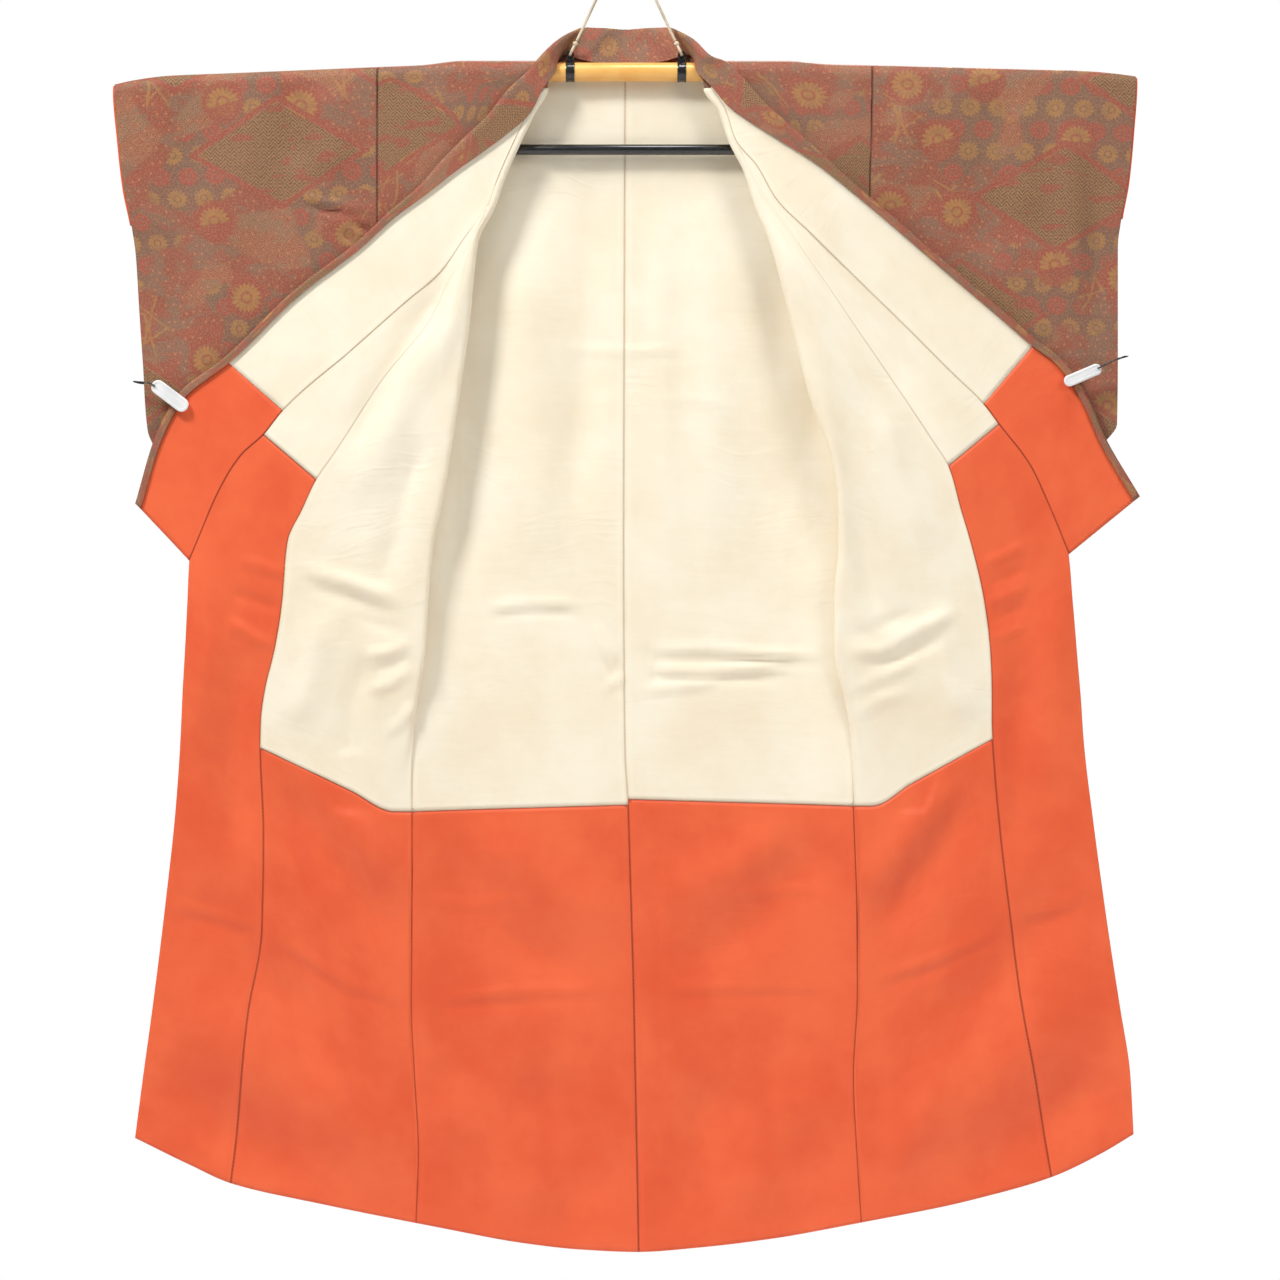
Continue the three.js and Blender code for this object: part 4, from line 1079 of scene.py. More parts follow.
    def add_collar(self) -> None:
        """Add the collar with its linings."""
        whole = collar_section_rows()
        band, rows, columns = dense(whole, 1)
        start, drop = COLLAR_FREE
        keep = np.clip((start - band.points[..., 2]) / drop, 0, 1)
        band.points[..., 1] -= relief(band.points, LAP_CREASES) * keep
        self.add_outer("collar", band, FIRST_SIDE)
        neck = len(COLLAR_NECK)
        middle = (len(whole) - 1) // 2
        orange = neck + COLLAR_ORANGE_ROW
        fold = columns[2] - 1
        sewn = band.cut(slice(None), slice(0, fold + 1))
        lining = Sheet(sewn.points + sewn.normals() * -LAYER_GAP, sewn.across, sewn.along, 1)
        for side, ends in ((Side.LEFT, (0, middle - orange, middle - neck)),
                           (Side.RIGHT, (middle + neck, middle + orange, len(whole) - 1))):
            first, second, third = (rows[end] for end in ends)
            white = (second, third) if side is Side.LEFT else (first, second)
            hem = (first, second) if side is Side.LEFT else (second, third)
            self.add_lining(f"collar_lining_{side.label}", lining.cut(slice(white[0], white[1] + 1)),
                            False, FIRST_SIDE)
            end = lining.cut(slice(hem[0], hem[1] + 1))
            end = trimmed(end, -1 if side is Side.LEFT else 0)
            self.add_lining(f"collar_end_lining_{side.label}", end, True, FIRST_SIDE)

    def build(self) -> None:
        """Build every piece and log the size of its cut."""
        for cloth in self.cloths:
            shell = cloth.build(SEAM_SINK["outer" if cloth.slot == "patterned_silk" else "lining"])
            cloth.declare(shell, self.support(cloth.name))

    @staticmethod
    def support(name: str) -> tuple[str, ...]:
        """What a piece hangs from or lies on.

        Args:
            name: the piece's name.

        Returns:
            The hanger's nodes, or none where other cloth carries the piece.
        """
        if name.startswith("sleeve_") and "edging" not in name:
            return (f"hanger_rod_{name.split('_')[-1]}",)
        if name.startswith(("back_left", "back_right", "front_left", "front_right")):
            return ("hanger_tube", f"hanger_rod_{name.split('_')[-1]}")
        return ()


def trimmed(sheet: Sheet, row: int) -> Sheet:
    """Draw one end of a sheet back by a seam's space.

    Args:
        sheet: the cloth.
        row: 0 for its first row, -1 for its last.

    Returns:
        The shorter sheet.
    """
    points = sheet.points.copy()
    step = points[1 if row == 0 else -2] - points[row]
    points[row] += step / np.linalg.norm(step, axis=1, keepdims=True) * SEAM_GAP
    return Sheet(points, sheet.across, sheet.along, sheet.sense)


# ---- shader graphs ----
Number = "Num | float"


@dataclass
class Num:
    """A number in a shader graph, which can be reckoned with."""

    graph: "Graph"
    socket: bpy.types.NodeSocket

    def __add__(self, other: Number) -> "Num":
        """Sum."""
        return self.graph.math("ADD", self, other)

    def __radd__(self, other: float) -> "Num":
        """Sum that starts with a plain number."""
        return self.graph.math("ADD", other, self)

    def __sub__(self, other: Number) -> "Num":
        """Difference."""
        return self.graph.math("SUBTRACT", self, other)

    def __rsub__(self, other: float) -> "Num":
        """Difference that starts with a plain number."""
        return self.graph.math("SUBTRACT", other, self)

    def __mul__(self, other: Number) -> "Num":
        """Product."""
        return self.graph.math("MULTIPLY", self, other)

    def __rmul__(self, other: float) -> "Num":
        """Product that starts with a plain number."""
        return self.graph.math("MULTIPLY", other, self)

    def __truediv__(self, other: Number) -> "Num":
        """Quotient."""
        return self.graph.math("DIVIDE", self, other)

    def of(self, operation: str, other: Number = 0.0) -> "Num":
        """Result of a math node on this number."""
        return self.graph.math(operation, self, other)

    def clipped(self) -> "Num":
        """The number kept between 0 and 1."""
        return self.graph.math("MINIMUM", self.graph.math("MAXIMUM", self, 0.0), 1.0)

    def near(self, start: float, end: float) -> "Num":
        """1 up to start on both sides of 0, and 0 from end on."""
        return 1.0 - self.of("ABSOLUTE").step(start, end)

    def step(self, start: Number, end: Number) -> "Num":
        """0 up to start, 1 from end on, smooth between them.

        Args:
            start: where it leaves 0.
            end: where it reaches 1.

        Returns:
            The step.
        """
        node = self.graph.node("ShaderNodeMapRange")
        node.interpolation_type = "SMOOTHSTEP"
        self.graph.fill(node, {"Value": self, "From Min": start, "From Max": end})
        return Num(self.graph, node.outputs["Result"])


class Graph:
    """Helper that builds one node tree."""

    def __init__(self, tree: bpy.types.NodeTree) -> None:
        """Start with an empty tree."""
        self.tree = tree
        tree.nodes.clear()

    def node(self, kind: str) -> bpy.types.Node:
        """Add a node."""
        return self.tree.nodes.new(kind)

    def put(self, value: "Num | bpy.types.NodeSocket | float | Sequence[float]",
            socket: bpy.types.NodeSocket) -> None:
        """Link a value to a socket, or set it there.

        Args:
            value: a number, a socket or a plain value.
            socket: the input.
        """
        if isinstance(value, Num):
            value = value.socket
        if isinstance(value, bpy.types.NodeSocket):
            self.tree.links.new(value, socket)
        else:
            socket.default_value = value

    def fill(self, node: bpy.types.Node, values: dict[str, object]) -> None:
        """Give a node's inputs their values, by name."""
        for name, value in values.items():
            self.put(value, node.inputs[name])

    def math(self, operation: str, a: Number, b: Number = 0.0) -> Num:
        """Reckon with two numbers.

        Args:
            operation: the node's operation.
            a: the first number.
            b: the second number.

        Returns:
            The result.
        """
        node = self.node("ShaderNodeMath")
        node.operation = operation
        self.put(a, node.inputs[0])
        self.put(b, node.inputs[1])
        return Num(self, node.outputs[0])

    def vector(self, x: Number, y: Number, z: Number = 0.0) -> bpy.types.NodeSocket:
        """Join three numbers to a vector.

        Args:
            x: first part.
            y: second part.
            z: third part.

        Returns:
            The vector.
        """
        node = self.node("ShaderNodeCombineXYZ")
        for value, socket in zip((x, y, z), node.inputs):
            self.put(value, socket)
        return node.outputs[0]

    def parts(self, vector: bpy.types.NodeSocket) -> tuple[Num, Num, Num]:
        """Split a vector.

        Args:
            vector: what is split.

        Returns:
            Its three numbers.
        """
        node = self.node("ShaderNodeSeparateXYZ")
        self.put(vector, node.inputs[0])
        return tuple(Num(self, socket) for socket in node.outputs)

    def noise(self, vector: bpy.types.NodeSocket, scale: float, detail: float = 2.0,
              rough: float = 0.5) -> Num:
        """Noise at a place.

        Args:
            vector: the place.
            scale: spots for each unit.
            detail: finer layers.
            rough: how strong they are.

        Returns:
            The noise, about 0.5.
        """
        node = self.node("ShaderNodeTexNoise")
        self.fill(node, {"Vector": vector, "Scale": scale, "Detail": detail, "Roughness": rough})
        return Num(self, node.outputs[0])

    def chance(self, i: Number, j: Number, seed: float) -> Num:
        """Random number of a cell.

        Args:
            i: the cell's column.
            j: the cell's row.
            seed: sets one lattice apart from another.

        Returns:
            A number from 0 to 1.
        """
        node = self.node("ShaderNodeTexWhiteNoise")
        node.noise_dimensions = "3D"
        self.put(self.vector(i, j, seed), node.inputs["Vector"])
        return Num(self, node.outputs["Value"])

    def mix(self, share: Number, first: object, second: object) -> bpy.types.NodeSocket:
        """Mix two colours.

        Args:
            share: how much of the second.
            first: a colour.
            second: another colour.

        Returns:
            The mixed colour.
        """
        node = self.node("ShaderNodeMix")
        node.data_type = "RGBA"
        self.put(share, node.inputs[0])
        self.put(first, node.inputs[6])
        self.put(second, node.inputs[7])
        return node.outputs[2]

    def bump(self, height: Number, strength: float, distance: float,
             normal: bpy.types.NodeSocket | None = None) -> bpy.types.NodeSocket:
        """Turn heights into a normal.

        Args:
            height: the heights.
            strength: how strong they are.
            distance: their size in metres.
            normal: what it starts from, if not the surface's own.

        Returns:
            The normal.
        """
        node = self.node("ShaderNodeBump")
        self.fill(node, {"Strength": strength, "Distance": distance, "Height": height})
        if normal is not None:
            self.put(normal, node.inputs["Normal"])
        return node.outputs[0]

    def group(self, tree: bpy.types.NodeTree, **values: object) -> bpy.types.Node:
        """Use a node group.

        Args:
            tree: the group.
            **values: its inputs by name.

        Returns:
            The group's node.
        """
        node = self.node("ShaderNodeGroup")
        node.node_tree = tree
        self.fill(node, values)
        return node


def tone(red: int, green: int, blue: int) -> tuple[float, float, float, float]:
    """Colour of a surface from its usual 0 to 255 values.

    Args:
        red: red light.
        green: green light.
        blue: blue light.

    Returns:
        The linear colour, which is opaque.
    """
    def linear(value: int) -> float:
        """One channel in linear light."""
        share = value / 255
        return share / 12.92 if share <= 0.04045 else ((share + 0.055) / 1.055) ** 2.4
    return linear(red), linear(green), linear(blue), 1.0


class GroupLibrary:
    """Node groups that several finishes share."""

    def __init__(self) -> None:
        """Build the groups."""
        self.weave = self.make_weave()
        self.crinkle = self.make_crinkle()
        self.seam = self.make_seam()
        self.wear = self.make_wear()
        self.motifs = self.make_motifs()

    @staticmethod
    def start(name: str, inputs: dict[str, str],
              outputs: dict[str, str]) -> tuple[Graph, bpy.types.Node, bpy.types.Node]:
        """Start a group with its sockets.

        Args:
            name: the group's name.
            inputs: its inputs with their kinds.
            outputs: its outputs with their kinds.

        Returns:
            The graph, and the nodes of its inputs and outputs.
        """
        tree = bpy.data.node_groups.new(name, "ShaderNodeTree")
        for way, sockets in (("INPUT", inputs), ("OUTPUT", outputs)):
            for socket, kind in sockets.items():
                tree.interface.new_socket(socket, in_out=way, socket_type=f"NodeSocket{kind}")
        graph = Graph(tree)
        return graph, graph.node("NodeGroupInput"), graph.node("NodeGroupOutput")

    def make_weave(self) -> bpy.types.NodeTree:
        """Threads of a plain weave: their height and how dark they are.

        Returns:
            The group.
        """
        graph, given, made = self.start("weave", {"Vector": "Vector", "Pitch": "Float"},
                                        {"Height": "Float", "Shade": "Float"})
        u, v, _ = graph.parts(given.outputs["Vector"])
        pitch = Num(graph, given.outputs["Pitch"])
        turns = 2 * math.pi
        warp = (u / pitch * turns).of("SINE")
        weft = (v / pitch * turns).of("SINE")
        twill = ((u + v) / pitch * (turns / 3)).of("SINE")
        slub = graph.noise(graph.vector(u * 30.0, v * 900.0), 1.0, 3.0)
        height = warp * weft * 0.5 + twill * 0.25 + slub * 0.9
        graph.put(height, made.inputs["Height"])
        graph.put((slub - 0.5) * 0.35 + 1.0, made.inputs["Shade"])
        return graph.tree

    def make_crinkle(self) -> bpy.types.NodeTree:
        """Fine wrinkles that folding leaves in silk, mostly across its length.

        Returns:
            The group.
        """
        graph, given, made = self.start("crinkle", {"Vector": "Vector", "Amount": "Float"},
                                        {"Height": "Float"})
        u, v, _ = graph.parts(given.outputs["Vector"])
        bend = graph.noise(graph.vector(u * 5.0, v * 5.0), 1.0)
        long_folds = graph.noise(graph.vector(u * 3.0, v * 22.0 + bend * 2.0), 1.0, 3.0, 0.6)
        patches = graph.noise(graph.vector(u * 4.0, v * 4.0, 3.0), 1.0).step(0.45, 0.7)
        fine = graph.noise(graph.vector(u * 14.0, v * 60.0), 1.0, 4.0, 0.55)
        ridge = 1.0 - ((long_folds - 0.5) * 14.0).of("ABSOLUTE").clipped()
        height = ridge * patches * 0.4 + fine * 0.5 + long_folds
        graph.put(height * Num(graph, given.outputs["Amount"]), made.inputs["Height"])
        return graph.tree

    def make_seam(self) -> bpy.types.NodeTree:
        """Painted shade of a seam: a dark line where shade falls in its groove, with small stitches, and a
        strip beside it in another tone.

        Returns:
            The group.
        """
        graph, given, made = self.start("seam", {"Vector": "Vector"}, {"Line": "Float", "Strip": "Float"})
        node = graph.node("ShaderNodeAttribute")
        node.attribute_name = "seam_gap"
        gap = Num(graph, node.outputs["Fac"])
        _, v, _ = graph.parts(given.outputs["Vector"])
        waves = graph.noise(graph.vector(v * 40.0, 0.0), 1.0) * 0.0006
        stitch = (v * (2 * math.pi / 0.0042)).of("SINE") * 0.12 + 0.88
        # painted shade: a dark line in the seam's groove, where shade falls, rippled by the stitches
        line = (1.0 - (gap + waves).step(0.0004, 0.0024)) * stitch
        # strip beside the seam; the finishes tint it darker on the orange lining as painted shade, and a
        # little lighter on the white
        strip = gap.step(0.0035, 0.0055) * (1.0 - gap.step(0.0075, 0.0105))
        graph.put(line, made.inputs["Line"])
        graph.put(strip, made.inputs["Strip"])
        return graph.tree

    def make_wear(self) -> bpy.types.NodeTree:
        """Uneven smears and fine scratches of handled metal and plastic.

        Returns:
            The group.
        """
        graph, _, made = self.start("wear", {}, {"Smear": "Float", "Scratch": "Float"})
        place = graph.node("ShaderNodeTexCoord").outputs["Object"]
        x, y, z = graph.parts(place)
        smear = graph.noise(place, 38.0, 3.0)
        scratch = graph.noise(graph.vector(x * 25.0, y * 900.0, z * 900.0), 1.0, 2.0)
        graph.put(smear, made.inputs["Smear"])
        graph.put(scratch, made.inputs["Scratch"])
        return graph.tree

    def make_motifs(self) -> bpy.types.NodeTree:
        """Small woven pattern of the outer cloth: clouds, lozenges, flowers, sprays, waves and dots.

        Returns:
            The group.
        """
        graph, given, made = self.start("motifs", {"Vector": "Vector"}, {"Color": "Color", "Height": "Float"})
        u0, v0, _ = graph.parts(given.outputs["Vector"])
        shake = graph.noise(graph.vector(u0, v0), 160.0, 1.0) - 0.5
        u, v = u0 + shake * 0.0022, v0 + shake * 0.0022
        place = graph.vector(u, v)

        def cell(width: float, height: float, seed: float, shift: float = 0.5) -> tuple[Num, Num, Num, Num]:
            """Place within a cell of a staggered lattice.

            Args:
                width: the cell's width in metres.
                height: the cell's height in metres.
                seed: sets the lattice apart.
                shift: how far each row is moved on, in cells.

            Returns:
                The place, and two random numbers of the cell.
            """
            down = v / height + seed
            row = down.of("FLOOR")
            across = u / width + row * shift + seed * 1.7
            column = across.of("FLOOR")
            x = (across - column - 0.5) * width
            y = (down - row - 0.5) * height
            return x, y, graph.chance(column, row, seed), graph.chance(column, row, seed + 7.3)

        # clouds of the ground
        cloud = graph.noise(graph.vector(u * 19.0, v * 30.0, 4.0), 1.0, 3.0, 0.6)
        red_cloud = cloud.step(0.44, 0.53)
        colour = graph.mix(red_cloud, tone(140, 104, 84), tone(156, 86, 66))
        bloom = graph.noise(graph.vector(u * 30.0, v * 44.0, 9.0), 1.0, 1.0).step(0.55, 0.61)
        colour = graph.mix(bloom * 0.55, colour, tone(170, 86, 66))

        # scale waves
        x, y, _, _ = cell(0.015, 0.0075, 0.0)
        rings = ((x * x + (y + 0.0037) * (y + 0.0037)).of("SQRT") / 0.0026 * (2 * math.pi)).of("SINE")
        patch = graph.noise(graph.vector(u * 7.0, v * 9.0, 21.0), 1.0, 1.0).step(0.54, 0.57)
        waves = rings.step(0.2, 0.75) * patch
        colour = graph.mix(waves * 0.9, colour, tone(178, 138, 100))

        # dots
        x, y, chance, other = cell(0.0105, 0.0105, 3.0, 0.37)
        x, y = x + (chance - 0.5) * 0.005, y + (other - 0.5) * 0.005
        dot = (1.0 - (x * x + y * y).of("SQRT").step(0.0011, 0.0021)) * chance.of("GREATER_THAN", 0.45)
        colour = graph.mix(dot * 0.9, colour, tone(196, 126, 86))

        # lozenges with a herringbone
        x, y, chance, other = cell(0.252, 0.148, 5.0)
        reach = x.of("ABSOLUTE") / 0.102 + y.of("ABSOLUTE") / 0.062
        present = chance.of("GREATER_THAN", 0.36)
        lozenge = (1.0 - reach.step(0.985, 1.01)) * present
        zigzag = ((x / 0.0125).of("FRACT") - 0.5).of("ABSOLUTE") * 0.0125
        bone = ((y + zigzag * 1.1) / 0.0046 * (2 * math.pi)).of("SINE").step(-0.1, 0.25)
        fill = graph.mix(bone, tone(112, 82, 58), tone(160, 124, 82))
        drift = graph.noise(graph.vector(u * 24.0, v * 58.0, 15.0), 1.0, 1.5).step(0.57, 0.62)
        fill = graph.mix(drift * 0.75, fill, tone(160, 78, 62))
        rim = (reach - 1.09).near(0.05, 0.08) * present
        colour = graph.mix(rim * 0.8, colour, tone(164, 80, 62))
        colour = graph.mix(lozenge, colour, fill)

        gold = graph.mix(graph.noise(place, 90.0, 1.0).step(0.4, 0.6), tone(184, 134, 74), tone(166, 124, 74))

        def flower(x: Num, y: Num, radius: Number, petals: float, turn: Number) -> tuple[Num, Num]:
            """One flower.

            Args:
                x: place in the cell.
                y: place in the cell.
                radius: the flower's.
                petals: how many.
                turn: how far it is turned.

            Returns:
                Its petals and the ring round its eye.
            """
            away = (x * x + y * y * 1.25).of("SQRT")
            angle = y.of("ARCTAN2", x) + turn
            waves = (angle * petals).of("COSINE")
            edge = radius * (waves * 0.1 + 0.9)
            shape = 1.0 - (away / edge).step(0.93, 1.05)
            gaps = waves.step(-1.0, -0.55) * 0.6 + 0.4
            ring = (away / radius).step(0.2, 0.28) * (1.0 - (away / radius).step(0.36, 0.44))
            inner = 1.0 - (away / radius).step(0.5, 0.6)
            return shape * (gaps + inner).clipped() * (1.0 - ring * 0.8), ring

        # sprays of bamboo and plum twigs
        x, y, chance, other = cell(0.118, 0.104, 11.0, 0.43)
        turn = (chance - 0.5) * 1.4
        xs, ys = x + y * turn, y - x * turn * 0.4
        bend = (ys * 62.0 + other * 6.0).of("SINE") * 0.006
        length = ys.near(0.036, 0.041)
        stem = (xs - bend).near(0.0011, 0.0022) * length
        second = (xs + bend * 1.3 - 0.017).near(0.0016, 0.0029) * (ys + 0.008).near(0.022, 0.028)
        reachx = xs.near(0.02, 0.026)
        twig = (ys - xs * 0.75 - 0.012).near(0.0009, 0.0018) * reachx
        twig_b = (ys + xs * 0.62 + 0.014).near(0.0009, 0.0018) * reachx
        outside = (1.0 - lozenge) * (1.0 - rim)
        spray = stem.of("MAXIMUM", second).of("MAXIMUM", twig).of("MAXIMUM", twig_b) * chance.of(
            "GREATER_THAN", 0.22) * outside
        colour = graph.mix(spray * 0.72, colour, gold)

        # rows of small flowers
        x, y, chance, other = cell(0.0355, 0.0275, 13.0)
        group_here = graph.noise(graph.vector(u * 8.5, v * 10.0, 31.0), 1.0, 1.0).step(0.5, 0.53)
        shape, ring = flower(x, y, 0.0138, 15.0, 0.0)
        small = shape * group_here * outside
        down = ((v / 0.0275 + 13.0).of("FLOOR") / 2.0).of("FRACT").of("GREATER_THAN", 0.25)
        hue = graph.mix(down, gold, tone(178, 82, 66))
        ground = group_here * outside * 0.8
        colour = graph.mix(ground, colour, tone(124, 98, 80))
        colour = graph.mix(small * 0.85, colour, hue)

        # large flowers
        x, y, chance, other = cell(0.092, 0.079, 17.0, 0.61)
        x, y = x + (other - 0.5) * 0.026, y + (chance - 0.5) * 0.02
        shape, ring = flower(x, y, other * 0.007 + 0.0165, 18.0, other * 3.0)
        fan = (y + x * (other - 0.5)).step(-0.004, -0.002).of("MAXIMUM", chance.of("GREATER_THAN", 0.55))
        large = shape * fan * other.of("GREATER_THAN", 0.42) * outside
        halo = (1.0 - (x * x + y * y).of("SQRT").step(0.024, 0.03)) * other.of("GREATER_THAN", 0.42) * outside
        colour = graph.mix(halo * 0.75, colour, tone(164, 80, 62))
        colour = graph.mix(large * 0.9, colour, gold)

        # speckle of the threads
        speck = graph.noise(graph.vector(u0 * 1400.0, v0 * 1400.0), 1.0, 1.0)
        coarse = graph.noise(graph.vector(u0 * 430.0, v0 * 430.0, 2.0), 1.0, 1.0)
        colour = graph.mix((speck.step(0.42, 0.62)) * 0.45, colour, tone(104, 72, 60))
        colour = graph.mix(coarse.step(0.48, 0.6) * 0.42, colour, tone(176, 128, 96))
        graph.put(colour, made.inputs["Color"])
        raised = (small + large + spray * 0.7 + lozenge * bone * 0.5).clipped()
        graph.put(raised + speck * 0.6, made.inputs["Height"])
        return graph.tree


@dataclass(frozen=True)
class Silk:
    """Finish of a plain silk lining."""

    name: str
    colour: tuple[float, float, float, float]
    shade: tuple[float, float, float, float]
    # seam: painted shade of a seam's groove, with its stitches; strip: tone beside a seam, painted shade on
    # the orange lining
    seam: tuple[float, float, float, float]
    strip: tuple[float, float, float, float]
    roughness: float
    sheen: float
    sheen_tint: tuple[float, float, float, float]
    crinkle: float


@dataclass(frozen=True)
class Hard:
    """Finish of metal, plastic or cord."""

    name: str
    colour: tuple[float, float, float, float]
    second: tuple[float, float, float, float]
    metallic: float
    roughness: float
    coat: float
    scratch: float


# the seam tones are painted seam shade; the orange strip is darker as painted shade
WHITE_SILK = Silk("white_lining", tone(252, 243, 221), tone(245, 231, 203), tone(205, 180, 146),
                  tone(252, 243, 222), 0.5, 0.2, tone(255, 248, 232), 1.0)
ORANGE_SILK = Silk("orange_lining", tone(242, 108, 64), tone(230, 90, 50), tone(134, 36, 20),
                   tone(240, 98, 60), 0.48, 0.22, tone(255, 170, 120), 0.75)
GOLD = Hard("gold_metal", tone(255, 196, 108), tone(250, 184, 94), 0.15, 0.36, 0.3, 0.3)
BLACK = Hard("black_metal", tone(22, 22, 23), tone(32, 32, 34), 0.0, 0.26, 0.6, 0.25)
CREAM = Hard("cord", tone(226, 212, 184), tone(196, 180, 150), 0.0, 0.8, 0.0, 0.0)
CLIP_WHITE = Hard("white_plastic", tone(240, 241, 240), tone(228, 229, 229), 0.0, 0.3, 0.4, 0.15)


class FinishMaker:
    """Builds the materials."""

    def __init__(self) -> None:
        """Build the shared groups first."""
        self.groups = GroupLibrary()

    @staticmethod
    def start(name: str) -> tuple[bpy.types.Material, Graph, bpy.types.Node]:
        """Start a material with its shader.

        Args:
            name: the material's name.

        Returns:
            The material, its graph and its shader.
        """
        material = bpy.data.materials.new(name)
        material.use_nodes = True
        graph = Graph(material.node_tree)
        shader = graph.node("ShaderNodeBsdfPrincipled")
        out = graph.node("ShaderNodeOutputMaterial")
        graph.put(shader.outputs[0], out.inputs[0])
        return material, graph, shader

    @staticmethod
    def cloth_place(graph: Graph) -> bpy.types.NodeSocket:
        """The cloth's own measure across and along, in metres.

        Args:
            graph: the material's graph.

        Returns:
            The measure.
        """
        node = graph.node("ShaderNodeUVMap")
        node.uv_map = "cloth"
        return node.outputs[0]

    def silk(self, finish: Silk) -> bpy.types.Material:
        """Plain lining silk.

        Args:
            finish: the lining's finish.

        Returns:
            The material.
        """
        material, graph, shader = self.start(finish.name)
        place = self.cloth_place(graph)
        weave = graph.group(self.groups.weave, Vector=place, Pitch=0.0007)
        crinkle = graph.group(self.groups.crinkle, Vector=place, Amount=finish.crinkle)
        seam = graph.group(self.groups.seam, Vector=place)
        u, v, _ = graph.parts(place)
        cloudy = graph.noise(graph.vector(u, v), 6.5, 4.0, 0.6)
        colour = graph.mix(cloudy.step(0.3, 0.72), finish.colour, finish.shade)
        shade = Num(graph, weave.outputs["Shade"])
        colour = graph.mix((1.0 - shade) * 1.2 + 0.05, colour, finish.shade)
        # painted shade beside a seam (a darker strip on the orange lining, a lighter one on the white) and
        # painted shade in the seam's groove, with its stitches
        colour = graph.mix(Num(graph, seam.outputs["Strip"]) * 0.35, colour, finish.strip)
        colour = graph.mix(Num(graph, seam.outputs["Line"]) * 0.85, colour, finish.seam)
        graph.fill(shader, {
            "Base Color": colour, "Roughness": cloudy * 0.16 + (finish.roughness - 0.08),
            "Sheen Weight": finish.sheen, "Sheen Roughness": 0.4, "Sheen Tint": finish.sheen_tint,
            "Specular IOR Level": 0.35})
        normal = graph.bump(Num(graph, crinkle.outputs["Height"]), 0.5, 0.0016)
        normal = graph.bump(Num(graph, weave.outputs["Height"]), 0.35, 0.00012, normal)
        graph.put(normal, shader.inputs["Normal"])
        return material

    def patterned(self) -> bpy.types.Material:
        """Patterned outer cloth.

        Returns:
            The material.
        """
        material, graph, shader = self.start("patterned_silk")
        place = self.cloth_place(graph)
        motifs = graph.group(self.groups.motifs, Vector=place)
        weave = graph.group(self.groups.weave, Vector=place, Pitch=0.0009)
        crinkle = graph.group(self.groups.crinkle, Vector=place, Amount=0.4)
        seam = graph.group(self.groups.seam, Vector=place)
        fade = graph.noise(place, 3.2, 3.0)
        colour = graph.mix(fade.step(0.35, 0.75) * 0.1, motifs.outputs["Color"], tone(176, 128, 112))
        # painted shade: a dark line in each seam's groove, where shade falls, with its stitches
        colour = graph.mix(Num(graph, seam.outputs["Line"]) * 0.75, colour, tone(62, 30, 28))
        height = Num(graph, motifs.outputs["Height"])
        graph.fill(shader, {
            "Base Color": colour, "Roughness": 0.66 - height * 0.08, "Sheen Weight": 0.1,
            "Sheen Roughness": 0.45, "Sheen Tint": tone(214, 150, 130), "Specular IOR Level": 0.3})
        normal = graph.bump(Num(graph, crinkle.outputs["Height"]), 0.4, 0.0012)
        normal = graph.bump(height, 0.4, 0.00025, normal)
        normal = graph.bump(Num(graph, weave.outputs["Height"]), 0.4, 0.00015, normal)
        graph.put(normal, shader.inputs["Normal"])
        return material

    def hard(self, finish: Hard) -> bpy.types.Material:
        """Metal, plastic or cord.

        Args:
            finish: the piece's finish.

        Returns:
            The material.
        """
        material, graph, shader = self.start(finish.name)
        wear = graph.group(self.groups.wear)
        smear, scratch = (Num(graph, wear.outputs[name]) for name in ("Smear", "Scratch"))
        graph.fill(shader, {
            "Base Color": graph.mix(smear.step(0.4, 0.66), finish.colour, finish.second),
            "Roughness": smear * 0.14 + scratch * 0.1 + (finish.roughness - 0.1),
            "Metallic": finish.metallic, "Coat Weight": finish.coat, "Coat Roughness": 0.12})
        if finish.scratch:
            graph.put(graph.bump(scratch, finish.scratch, 0.00004), shader.inputs["Normal"])
        else:
            place = graph.node("ShaderNodeTexCoord").outputs["Object"]
            x, y, z = graph.parts(place)
            strands = ((x.of("ABSOLUTE") + z * 0.45 + y * 0.9) * (2 * math.pi / 0.0016)).of("SINE")
            other = ((x.of("ABSOLUTE") + z * 0.45 - y * 0.9) * (2 * math.pi / 0.0016)).of("SINE")
            graph.put(graph.bump(strands * other, 0.6, 0.0003), shader.inputs["Normal"])
        return material


# ---- hard pieces ----
SHARP = math.radians(40)  # a steeper edge is shaded as a corner


